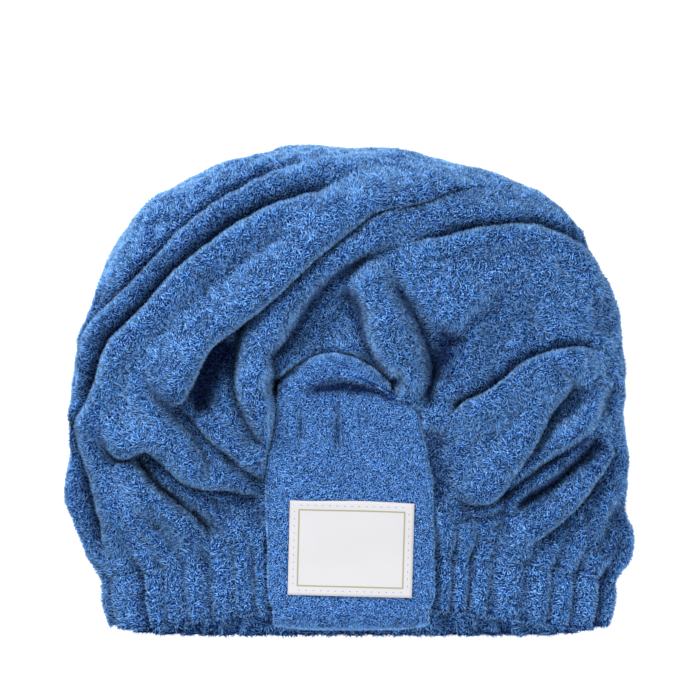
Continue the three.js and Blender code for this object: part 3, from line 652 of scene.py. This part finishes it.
# Painted shade in the valleys between the gathers, from 0 to 1
def hemShade(wave):
    return np.clip((hemSizes["shadeFrom"] - wave) / hemSizes["shadeSpan"], 0, 1)


fineTurns = np.linspace(0, 2 * math.pi, 4001)
hemX, hemZ = sectionPoints(hemSection(0), fineTurns)
hemRound = np.concatenate([[0], np.cumsum(np.hypot(np.diff(hemX), np.diff(hemZ)))])


def roundShare(angle):
    return np.interp(np.mod(angle, 2 * math.pi), fineTurns, hemRound / hemRound[-1])


def makeBand():
    count = hemSizes["gathers"] * hemSizes["perGather"]
    angles = evenPlaces(np.stack([hemX, hemZ], axis=-1), np.ones(len(hemX)), count, True) * 2 * math.pi
    seam, lower = hemEdges(angles)
    thick, rows = hemSizes["thick"], hemSizes["rows"]
    profile = []
    for share in np.linspace(0, 1, rows):
        turn = math.pi * min(share / hemSizes["round"], 1) / 2
        profile.append((share, thick / 2 * (1 - math.sin(turn))))
    profile += [(share, thick - inset) for share, inset in reversed(profile)]
    wave = hemWave(angles)
    rings = []
    for share, inset in profile:
        x, z = sectionPoints(hemSection(inset + hemSizes["pucker"] * (1 - wave) / 2), angles)
        edge = lower + hemSizes["scallop"] * (1 - wave) / 2
        rings.append(np.stack([x, edge + share * (seam - edge), z], axis=-1))
    rings.append(rings[0])
    grid = np.array(rings)
    standing = aboveFloor(grid[..., 2])
    standing[rows:2 * rows] *= np.where(np.sin(angles) < 0, hemSizes["insidePile"], 0)
    # painted shade between the gathers, weaker on the inside
    shade = hemShade(wave)
    values = dict(
        pileShare=standing,
        paintedShade=np.array([shade] * rows + [hemSizes["insideShade"] * shade] * rows + [shade]),
    )
    return gridPiece("hemBand", settle(grid), values, True, False)


strapWrinkles = [
    dict(x=338, low=455, high=392, deep=3.4, half=1.5),
    dict(x=301, low=450, high=400, deep=2.4, half=1.5),
]


def strapDips(x, across, stations):  # the crease under the top roll, and two short creases down from it
    climbs = np.arange(len(stations)) > 2 * (strapSizes["rows"] // 5)
    climbLength = strapSizes["reach"] - strapSizes["rollRadius"] - hemSizes["lean"]
    creaseY = hemSizes["lean"] + strapSizes["creaseUp"] * climbLength
    near = np.exp(-(((stations[:, :1] - creaseY) / strapSizes["creaseHalf"]) ** 2)) * climbs[:, None]
    ends = smoothStep((across - strapSizes["creaseFrom"]) / strapSizes["creaseFromFade"])
    ends = ends * smoothStep((strapSizes["creaseTo"] - across) / strapSizes["creaseToFade"])
    dips = strapSizes["crease"] * near * ends
    for wrinkle in strapWrinkles:
        (middle, low), (_, high) = fromPhoto([(wrinkle["x"], wrinkle[end]) for end in ("low", "high")])
        away = (x - middle) / wrinkle["half"]
        span = np.clip((stations[:, :1] - low) / (high - low), 0, 1) * climbs[:, None]
        dips = dips + wrinkle["deep"] * np.exp(-(away**2)) * np.sin(math.pi * span)
    return dips


def makeStrap():
    stations = strapLine(strapSizes["rows"])
    ahead = np.roll(stations[:, :2], -1, axis=0)
    behind = np.roll(stations[:, :2], 1, axis=0)
    ahead[-1], behind[0] = stations[-1, :2], stations[0, :2]
    along = (ahead - behind) / np.linalg.norm(ahead - behind, axis=1, keepdims=True)
    outward = np.stack([-along[:, 1], along[:, 0]], axis=-1)
    spread = np.sin(np.linspace(-1, 1, strapSizes["columns"]) * math.pi / 2)
    rings, shares, paintedShades = [], [], []
    for face in (1, -1):
        across = spread if face == 1 else spread[::-1]
        middle = (stations[:, 2] + stations[:, 3]) / 2
        half = (stations[:, 3] - stations[:, 2]) / 2
        x = strapSizes["shift"] + strapSizes["width"] / 2 * (middle[:, None] + half[:, None] * across)
        toEdge = across**4
        sink = strapSizes["edgeSink"] / 2 * toEdge
        offset = strapSizes["thick"] * (face / 2 * (1 - strapSizes["edgeThin"] * toEdge) - sink)
        y = stations[:, :1] - stations[:, 4:5] * strapSizes["width"] * across**2 + offset * outward[:, :1]
        dips = strapDips(x, across, stations)
        z = stations[:, 1:2] + hemDrop(x) + offset * outward[:, 1:2] - dips
        rings.append(np.stack([x, y, z], axis=-1))
        seen = (np.arange(len(stations)) > strapSizes["rows"] // 5)[:, None]
        seen = seen & (np.abs(across) > (-1 if face == 1 else strapSizes["insidePile"]))
        shares.append(np.where(seen & ~underLabel(x, y), 1, 0))
        # painted shade in the strap's creases
        paintedShades.append(np.clip(dips / strapSizes["shadeDepth"], 0, 1) + np.zeros(x.shape))
    values = dict(pileShare=np.concatenate(shares, axis=1), paintedShade=np.concatenate(paintedShades, axis=1))
    return gridPiece("strapCloth", settle(np.concatenate(rings, axis=1)), values, True, True)


# The label on the strap: a fold-free woven piece with a thin border
labelSizes = dict(
    width=60, length=46, up=22, turn=math.radians(1.5), lift=1.1, thick=0.5, inset=0.4, columns=40, rows=31,
    waves=[(0.25, 7, 11), (0.18, -17, 5)], edgeWave=0.35, edgeStep=9, edgeStart=1, edgePower=6,
)


def strapTop(x, y):
    stations = strapLine(strapSizes["rows"])
    first = 2 * (strapSizes["rows"] // 5 - 1)
    climb = stations[first:first + strapSizes["rows"]]
    z = np.interp(y, climb[:, 0], climb[:, 1])
    left, right = (np.interp(y, climb[:, 0], climb[:, side]) for side in (2, 3))
    across = (x - strapSizes["shift"]) / (strapSizes["width"] / 2)
    across = np.clip((2 * across - left - right) / (right - left), -1, 1)
    thin = (1 - strapSizes["edgeThin"] * across**4) / 2 - strapSizes["edgeSink"] / 2 * across**4
    return z + hemDrop(x) + strapSizes["thick"] * thin


def labelPlace(u, v):
    turn = labelSizes["turn"]
    x = strapSizes["shift"] + u * math.cos(turn) + v * math.sin(turn)
    y = labelSizes["up"] + labelSizes["length"] / 2 - u * math.sin(turn) + v * math.cos(turn)
    return x, y


def underLabel(x, y):
    turn = labelSizes["turn"]
    dx, dy = x - strapSizes["shift"], y - labelSizes["up"] - labelSizes["length"] / 2
    u, v = dx * math.cos(turn) - dy * math.sin(turn), dx * math.sin(turn) + dy * math.cos(turn)
    inset = labelSizes["inset"]
    return (np.abs(u) < labelSizes["width"] / 2 - inset) & (np.abs(v) < labelSizes["length"] / 2 - inset)


def labelWave(u, v):
    return sum(rise * np.sin(u / acrossStep + v / upStep) for rise, acrossStep, upStep in labelSizes["waves"])


def makeLabel():
    u, v = np.meshgrid(
        np.linspace(-0.5, 0.5, labelSizes["columns"]) * labelSizes["width"],
        np.linspace(-0.5, 0.5, labelSizes["rows"]) * labelSizes["length"],
    )
    wavy = np.clip(v / (labelSizes["length"] / 2), 0, 1) ** labelSizes["edgePower"]
    edge = labelSizes["edgeWave"] * wavy * np.sin(u / labelSizes["edgeStep"] + labelSizes["edgeStart"])
    x, y = labelPlace(u, v + edge)
    top = strapTop(x, y) + labelSizes["lift"] + labelWave(u, v)
    low = np.stack([x, y, top], axis=-1)
    high = np.stack([x, y, top + labelSizes["thick"]], axis=-1)
    grid = np.concatenate([high, low[:, ::-1]], axis=1)
    places = (("acrossLabel", u), ("upLabel", v))
    values = {key: np.concatenate([place, place[:, ::-1]], axis=1) * mm for key, place in places}
    return gridPiece("labelCloth", settle(grid), values, True, True)


# The thread that sews the label on: short stitches round its edge, half sunk into it
stitchSizes = dict(inset=2.4, step=3.5, length=1.3, thick=0.5, flat=0.6, sink=0.05)


def makeStitches():
    bm = bmesh.new()
    halfWidth, halfLength = (labelSizes[side] / 2 - stitchSizes["inset"] for side in ("width", "length"))
    places = []
    for half, other, turned in ((halfWidth, halfLength, False), (halfLength, halfWidth, True)):
        count = int(2 * half / stitchSizes["step"])
        for along in (np.arange(count) - (count - 1) / 2) * stitchSizes["step"]:
            places += [((other * s, along) if turned else (along, other * s), turned) for s in (-1, 1)]
    for (u, v), turned in places:
        x, y = labelPlace(u, v)
        z = strapTop(x, y) + labelSizes["lift"] + labelWave(u, v) + labelSizes["thick"] - stitchSizes["sink"]
        made = bmesh.ops.create_icosphere(bm, subdivisions=1, radius=stitchSizes["thick"] / 2 * mm)["verts"]
        long, flat = stitchSizes["length"] / stitchSizes["thick"], stitchSizes["flat"]
        bmesh.ops.scale(bm, verts=made, vec=(1, long, flat) if turned else (long, 1, flat))
        bmesh.ops.translate(bm, verts=made, vec=Vector((x, y + hemY, z)) * mm)
    return makeObject("labelStitches", bm, smooth=False)


print("shaping the cloth")
crownCloth = makeCrown()
hemBand = makeBand()
strapCloth = makeStrap()
labelCloth = makeLabel()
labelStitches = makeStitches()
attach(labelStitches, "root")
skins = ((crownCloth, "crown"), (hemBand, "elastic_band"), (strapCloth, "front_strap"), (labelCloth, "label"))
for piece, node in skins:
    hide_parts(node)
    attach(piece, "root")
    print(piece.name, len(piece.data.polygons), "faces")

# The pile: short bent tufts of microfibre yarn standing on the cloth, as one sees them close up
# The tufts are about twice as wide as the real ones, which would be too many
pile = dict(
    length=1.8, thick=0.92, tall=1.5, root=0.4, arch=0.8, bends=(0.35, -0.35, 0.15, -0.2), faces=4,
    lean=0.25, spin=1.3, swirl=9, swirlTurns=5, apart=0.55, most=6, smallest=0.75, largest=1.25,
    onCrown=1.07, onHem=1.15, onStrap=0.82, floor=0.1, seed=11,
)


def makeTuft(name, bend):
    bm = bmesh.new()
    bmesh.ops.create_cone(bm, cap_ends=True, segments=3, radius1=1, radius2=0, depth=2)
    bmesh.ops.remove_doubles(bm, verts=bm.verts, dist=1e-6)
    tipLayer = bm.verts.layers.float.new("tipShare")
    for vert in bm.verts:
        along = (vert.co.z + 1) / 2
        lift = math.sin(math.pi / 2 * min(along / pile["arch"], 1))
        side = bend * along
        vert[tipLayer] = along
        vert.co = Vector((
            vert.co.y * 0.5 * pile["thick"] + side,
            (along - 0.5) * pile["length"],
            (pile["tall"] + pile["root"]) * lift - pile["root"] + vert.co.x * 0.5 * pile["thick"],
        )) * mm
    bmesh.ops.recalc_face_normals(bm, faces=bm.faces)
    makeObject(name, bm, tuftKinds)


tuftKinds = bpy.data.collections.new("tuftKinds")
bpy.context.scene.collection.children.link(tuftKinds)
for i, bend in enumerate(pile["bends"]):
    makeTuft(f"tuft{i}", bend)


def addNode(tree, kind, links=None, **settings):
    node = tree.nodes.new(kind)
    inputs = settings.pop("inputs", {})
    for key, value in settings.items():
        setattr(node, key, value)
    for key, value in inputs.items():
        node.inputs[key].default_value = value
    for key, source in (links or {}).items():
        tree.links.new(source, node.inputs[key])
    return node


def pileNodes(name, start, end, size):
    tree = bpy.data.node_groups.new(name, "GeometryNodeTree")
    tree.interface.new_socket("Geometry", in_out="INPUT", socket_type="NodeSocketGeometry")
    tree.interface.new_socket("Geometry", in_out="OUTPUT", socket_type="NodeSocketGeometry")
    cloth = addNode(tree, "NodeGroupInput")
    share = addNode(tree, "GeometryNodeInputNamedAttribute", data_type="FLOAT", inputs={"Name": "pileShare"})
    points = addNode(
        tree, "GeometryNodeDistributePointsOnFaces",
        {"Mesh": cloth.outputs[0], "Density Factor": share.outputs[0]}, distribute_method="POISSON",
        inputs={
            "Distance Min": pile["apart"] * size * mm, "Density Max": pile["most"] / mm**2,
            "Seed": pile["seed"],
        },
    )
    place = addNode(tree, "GeometryNodeInputPosition")
    apart = addNode(tree, "ShaderNodeSeparateXYZ", {"Vector": place.outputs[0]})
    after, before = (
        addNode(
            tree, "FunctionNodeCompare", {"A": apart.outputs["X"]}, operation=kind, inputs={"B": edge * mm},
        )
        for kind, edge in (("GREATER_EQUAL", start), ("LESS_THAN", end))
    )
    both = addNode(
        tree, "FunctionNodeBooleanMath", {0: after.outputs[0], 1: before.outputs[0]}, operation="AND",
    )
    zone = addNode(
        tree, "GeometryNodeSeparateGeometry",
        {"Geometry": points.outputs["Points"], "Selection": both.outputs[0]},
    )
    kinds = addNode(
        tree, "GeometryNodeCollectionInfo",
        inputs={"Collection": tuftKinds, "Separate Children": True, "Reset Children": True},
    )
    scale = addNode(
        tree, "FunctionNodeRandomValue", data_type="FLOAT",
        inputs={2: pile["smallest"] * size, 3: pile["largest"] * size, "Seed": pile["seed"] + 1},
    )
    tufts = addNode(
        tree, "GeometryNodeInstanceOnPoints",
        {
            "Points": zone.outputs["Selection"], "Instance": kinds.outputs[0],
            "Rotation": points.outputs["Rotation"], "Scale": scale.outputs[1],
        },
        inputs={"Pick Instance": True},
    )
    stray = addNode(
        tree, "FunctionNodeRandomValue", data_type="FLOAT_VECTOR",
        inputs={
            0: (-pile["lean"], -pile["lean"], -pile["spin"]), 1: (pile["lean"], pile["lean"], pile["spin"]),
            "Seed": pile["seed"] + 2,
        },
    )
    flow = addNode(tree, "ShaderNodeTexNoise", inputs={"Scale": 1 / (pile["swirl"] * mm), "Detail": 1.0})
    swirl = addNode(
        tree, "ShaderNodeMath", {0: flow.outputs[0]}, operation="MULTIPLY",
        inputs={1: pile["swirlTurns"] * math.pi},
    )
    around = addNode(tree, "ShaderNodeCombineXYZ", {"Z": swirl.outputs[0]})
    spin = addNode(tree, "ShaderNodeVectorMath", {0: stray.outputs[0], 1: around.outputs[0]}, operation="ADD")
    turned = addNode(
        tree, "GeometryNodeRotateInstances", {"Instances": tufts.outputs[0], "Rotation": spin.outputs[0]},
        inputs={"Local Space": True},
    )
    tone = addNode(
        tree, "FunctionNodeRandomValue", data_type="FLOAT", inputs={2: 0.0, 3: 1.0, "Seed": pile["seed"] + 3},
    )
    toned = addNode(
        tree, "GeometryNodeStoreNamedAttribute", {"Geometry": turned.outputs[0], "Value": tone.outputs[1]},
        data_type="FLOAT", domain="INSTANCE", inputs={"Name": "tuftTone"},
    )
    real = addNode(tree, "GeometryNodeRealizeInstances", {"Geometry": toned.outputs[0]})
    addNode(tree, "NodeGroupOutput", {0: real.outputs[0]})
    return tree


def makePile(name, cloth, start, end, size):
    tree = pileNodes(name + "Nodes", start, end, size)
    modifier = cloth.modifiers.new(name, "NODES")
    modifier.node_group = tree
    depsgraph = bpy.context.evaluated_depsgraph_get()
    mesh = bpy.data.meshes.new_from_object(
        cloth.evaluated_get(depsgraph), preserve_all_data_layers=True, depsgraph=depsgraph,
    )
    cloth.modifiers.remove(modifier)
    bpy.data.node_groups.remove(tree)
    mesh.name = name
    places = np.empty(len(mesh.vertices) * 3)
    mesh.vertices.foreach_get("co", places)
    places[2::3] = np.maximum(places[2::3], pile["floor"] * mm)  # pressed flat on the table
    mesh.vertices.foreach_set("co", places)
    piece = bpy.data.objects.new(name, mesh)
    bpy.context.scene.collection.objects.link(piece)
    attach(piece, "root")
    print(name, len(mesh.polygons) // pile["faces"], "tufts")
    return piece


piles = []
crownZones = [-200, -62, -8, 50, 200]  # from x to x, so that no pile has over 200,000 triangles
for i, (start, end) in enumerate(zip(crownZones, crownZones[1:])):
    piles.append(makePile(f"crownPile{i}", crownCloth, start, end, pile["onCrown"]))
piles.append(makePile("hemPile", hemBand, -200, 200, pile["onHem"]))
piles.append(makePile("strapPile", strapCloth, -200, 200, pile["onStrap"]))
for kind in list(tuftKinds.objects):
    bpy.data.objects.remove(kind)
bpy.data.collections.remove(tuftKinds)
print("pile of", sum(len(p.data.polygons) for p in piles) // pile["faces"], "tufts")


# Colours and materials
def hexColour(code):
    parts = [int(code[i:i + 2], 16) / 255 for i in (1, 3, 5)]
    return [*(p / 12.92 if p <= 0.04045 else ((p + 0.055) / 1.055) ** 2.4 for p in parts), 1]


def newMaterial(name, **sockets):
    material = bpy.data.materials.new(name)
    material.use_nodes = True
    shader = material.node_tree.nodes["Principled BSDF"]
    for key, value in sockets.items():
        shader.inputs[key.replace("_", " ")].default_value = value
    return material, material.node_tree, shader


# root and tip give each tuft painted shade at its foot and a painted highlight at its tip; the last colour is
# multiplied in as painted shade in creases; the ground colours are painted darker as shade in the gaps
# between the tufts
terryColours = dict(
    groundLow="#0a1a42", groundHigh="#193f80", root="#07225a", middle="#3578c6", tip="#98c8f6",
    paintedShade="#46587c",
)
# Where along a tuft its colours lie, how unlike the tufts are, and the clumps they part into, in mm; the gaps
# between the clumps get painted shade
pileLook = dict(
    rootAt=0.1, middleAt=0.42, tipAt=0.9, palest=1.32, darkest=0.68, clumpStep=1.9, gapFrom=0.36, gapTo=0.56,
)
groundLook = dict(loop=1.6, lowAt=0.35, highAt=0.75, bump=0.8)  # loop and bump in mm


def setStops(ramp, *stops):
    elements = ramp.color_ramp.elements
    for i, (place, colour) in enumerate(stops):
        stop = elements[i] if i < 2 else elements.new(place)
        stop.position, stop.color = place, hexColour(terryColours[colour])


def readValue(tree, name):
    return addNode(tree, "ShaderNodeAttribute", attribute_name=name).outputs["Fac"]


def mixColours(tree, share, code, colour=None, kind="MIX", under="#ffffff"):
    mix = addNode(tree, "ShaderNodeMix", {0: share}, data_type="RGBA", blend_type=kind)
    first, second = (s for s in mix.inputs if s.type == "RGBA")
    second.default_value = hexColour(code)
    if colour is None:
        first.default_value = hexColour(under)
    else:
        tree.links.new(colour, first)
    return next(s for s in mix.outputs if s.type == "RGBA")


def withPaintedShade(tree, colour):  # painted shade: deep in creases, dishes and gathers the colour is multiplied darker
    return mixColours(tree, readValue(tree, "paintedShade"), terryColours["paintedShade"], colour, "MULTIPLY")


# Microfibre terry: matt; each tuft is painted dark at its root as painted shade between the tufts and pale at
# its tip as a painted highlight where the tips catch the light
def makePileMaterial(name, clump, bright):
    material, tree, shader = newMaterial(name, Roughness=0.95, Sheen_Weight=0.12, Sheen_Roughness=0.5)
    shader.inputs["Sheen Tint"].default_value = hexColour(terryColours["tip"])
    shader.inputs["Specular IOR Level"].default_value = 0.15
    ramp = addNode(tree, "ShaderNodeValToRGB", {"Fac": readValue(tree, "tipShare")})
    setStops(ramp, (pileLook["rootAt"], "root"), (pileLook["tipAt"], "tip"), (pileLook["middleAt"], "middle"))
    light = addNode(
        tree, "ShaderNodeMapRange", {"Value": readValue(tree, "tuftTone")},
        inputs={"To Min": pileLook["darkest"] * bright, "To Max": pileLook["palest"] * bright},
    )
    place = addNode(tree, "ShaderNodeTexCoord")
    clumps = addNode(  # the pile parts into clumps a few tufts wide
        tree, "ShaderNodeTexNoise", {"Vector": place.outputs["Object"]},
        inputs={"Scale": 1 / (pileLook["clumpStep"] * mm), "Detail": 1.0},
    )
    # painted shade in the gaps between the clumps
    gaps = addNode(
        tree, "ShaderNodeMapRange", {"Value": clumps.outputs[0]},
        inputs={
            "From Min": pileLook["gapFrom"], "From Max": pileLook["gapTo"],
            "To Min": 1 - clump, "To Max": 1.0,
        },
    )
    both = addNode(tree, "ShaderNodeMath", {0: light.outputs[0], 1: gaps.outputs[0]}, operation="MULTIPLY")
    toned = addNode(tree, "ShaderNodeHueSaturation", {"Color": ramp.outputs[0], "Value": both.outputs[0]})
    tree.links.new(withPaintedShade(tree, toned.outputs[0]), shader.inputs["Base Color"])
    return material


# The knitted ground under the pile: its loop texture, painted darker than the tufts as painted shade, so that
# the gaps between the tufts look deep
def makeGroundMaterial():
    material, tree, shader = newMaterial("microfibreTerryGround", Roughness=1.0)
    shader.inputs["Specular IOR Level"].default_value = 0.1
    place = addNode(tree, "ShaderNodeTexCoord")
    loops = addNode(
        tree, "ShaderNodeTexNoise", {"Vector": place.outputs["Object"]},
        inputs={"Scale": 1 / (groundLook["loop"] * mm), "Detail": 2.0},
    )
    colour = addNode(tree, "ShaderNodeValToRGB", {"Fac": loops.outputs[0]})
    setStops(colour, (groundLook["lowAt"], "groundLow"), (groundLook["highAt"], "groundHigh"))
    bump = addNode(
        tree, "ShaderNodeBump", {"Height": loops.outputs[0]},
        inputs={"Strength": 0.8, "Distance": groundLook["bump"] * mm},
    )
    tree.links.new(withPaintedShade(tree, colour.outputs[0]), shader.inputs["Base Color"])
    tree.links.new(bump.outputs[0], shader.inputs["Normal"])
    return material


print("making the materials")
groundMaterial = makeGroundMaterial()
crownPileMaterial = makePileMaterial("crownTerryPile", 0.58, 1.12)
strapPileMaterial = makePileMaterial("strapTerryPile", 0.42, 1.22)
for piece in (crownCloth, hemBand, strapCloth):
    piece.data.materials.append(groundMaterial)
for piece in piles:
    piece.data.materials.clear()
    piece.data.materials.append(strapPileMaterial if piece is piles[-1] else crownPileMaterial)
labelColours = dict(white="#b5b4b7", border="#8b8a72", stitch="#5f7fb0")
labelBorder = dict(inset=4.6, half=0.28, soft=0.2)  # mm in from the edge, half the line's width, its blur


# The weave is drawn about three times too coarse, as the real one is too fine to see from here
weave = dict(width=1.1, height=0.55, gap=0.1, bump=0.1)


def pastLine(tree, value, place):  # how far outside a line at this distance from the label's middle
    size = addNode(tree, "ShaderNodeMath", {0: value}, operation="ABSOLUTE")
    away = addNode(tree, "ShaderNodeMath", {0: size.outputs[0]}, operation="SUBTRACT", inputs={1: place * mm})
    return away.outputs[0]


# Satin-woven label: fine ribs, a thin woven border, its middle left bare
def makeLabelMaterial():
    material, tree, shader = newMaterial("wovenLabel", Roughness=0.7)
    pastAcross, pastUp = (
        pastLine(tree, readValue(tree, name), labelSizes[side] / 2 - labelBorder["inset"])
        for name, side in (("acrossLabel", "width"), ("upLabel", "length"))
    )
    outside = addNode(tree, "ShaderNodeMath", {0: pastAcross, 1: pastUp}, operation="MAXIMUM")
    distance = addNode(tree, "ShaderNodeMath", {0: outside.outputs[0]}, operation="ABSOLUTE")
    line = addNode(
        tree, "ShaderNodeMapRange", {"Value": distance.outputs[0]},
        inputs={
            "From Min": labelBorder["half"] * mm,
            "From Max": (labelBorder["half"] + labelBorder["soft"]) * mm, "To Min": 1.0, "To Max": 0.0,
        },
    )
    colour = mixColours(tree, line.outputs[0], labelColours["border"], under=labelColours["white"])
    place = addNode(tree, "ShaderNodeTexCoord")
    bricks = addNode(
        tree, "ShaderNodeTexBrick", {"Vector": place.outputs["Object"]},
        inputs={
            "Scale": 1.0, "Brick Width": weave["width"] * mm, "Row Height": weave["height"] * mm,
            "Mortar Size": weave["gap"] * mm,
        },
    )
    bump = addNode(
        tree, "ShaderNodeBump", {"Height": bricks.outputs["Fac"]},
        inputs={"Strength": 0.5, "Distance": weave["bump"] * mm},
    )
    tree.links.new(colour, shader.inputs["Base Color"])
    tree.links.new(bump.outputs[0], shader.inputs["Normal"])
    return material


labelCloth.data.materials.append(makeLabelMaterial())
stitchMaterial, _, stitchShader = newMaterial("sewingThread", Roughness=0.6)
stitchShader.inputs["Base Color"].default_value = hexColour(labelColours["stitch"])
labelStitches.data.materials.append(stitchMaterial)

# Camera, floor and lights
print("setting up the camera and lights")
view = dict(above=2.2, middle=0.035, lens=233, x=0.73, y=140.8, sensor=36)  # above and middle in metres
studio = dict(light=0.66, floorSize=3, floor="#c4c4c4", glow="#ffffff", glowStrength=0.7)
camera = bpy.data.objects.new("camera", bpy.data.cameras.new("camera"))
camera.data.lens, camera.data.sensor_width = view["lens"], view["sensor"]
camera.data.clip_start, camera.data.clip_end = 0.1, 10
camera.location = (view["x"] * mm, (view["y"] + hemY) * mm, view["above"] + view["middle"])
bpy.context.scene.collection.objects.link(camera)
bpy.context.scene.camera = camera


def addLight(name, energy, size, place):
    light = bpy.data.lights.new(name, "AREA")
    light.energy, light.size = energy, size
    lamp = bpy.data.objects.new(name, light)
    lamp.location = place
    lamp.rotation_mode = "QUATERNION"
    lamp.rotation_quaternion = (Vector((0, 0, 0)) - Vector(place)).to_track_quat("-Z", "Y")
    bpy.context.scene.collection.objects.link(lamp)


addLight("keyLight", 41, 0.6, (-0.8, 1.15, 1.3))
addLight("fillLight", 26, 1.2, (0.6, -0.9, 1.7))
world = bpy.data.worlds.new("studio")
bpy.context.scene.world = world
world.use_nodes = True
world.node_tree.nodes["Background"].inputs["Color"].default_value = (1, 1, 1, 1)
world.node_tree.nodes["Background"].inputs["Strength"].default_value = studio["light"]

bm = bmesh.new()
bmesh.ops.create_grid(bm, x_segments=1, y_segments=1, size=studio["floorSize"])
floor = makeObject("floor", bm, smooth=False)
floorMaterial, _, floorShader = newMaterial(
    "paleTable", Roughness=0.9, Emission_Strength=studio["glowStrength"],
)
floorShader.inputs["Base Color"].default_value = hexColour(studio["floor"])
floorShader.inputs["Emission Color"].default_value = hexColour(studio["glow"])
floor.data.materials.append(floorMaterial)
bpy.context.scene.view_settings.view_transform = "Standard"
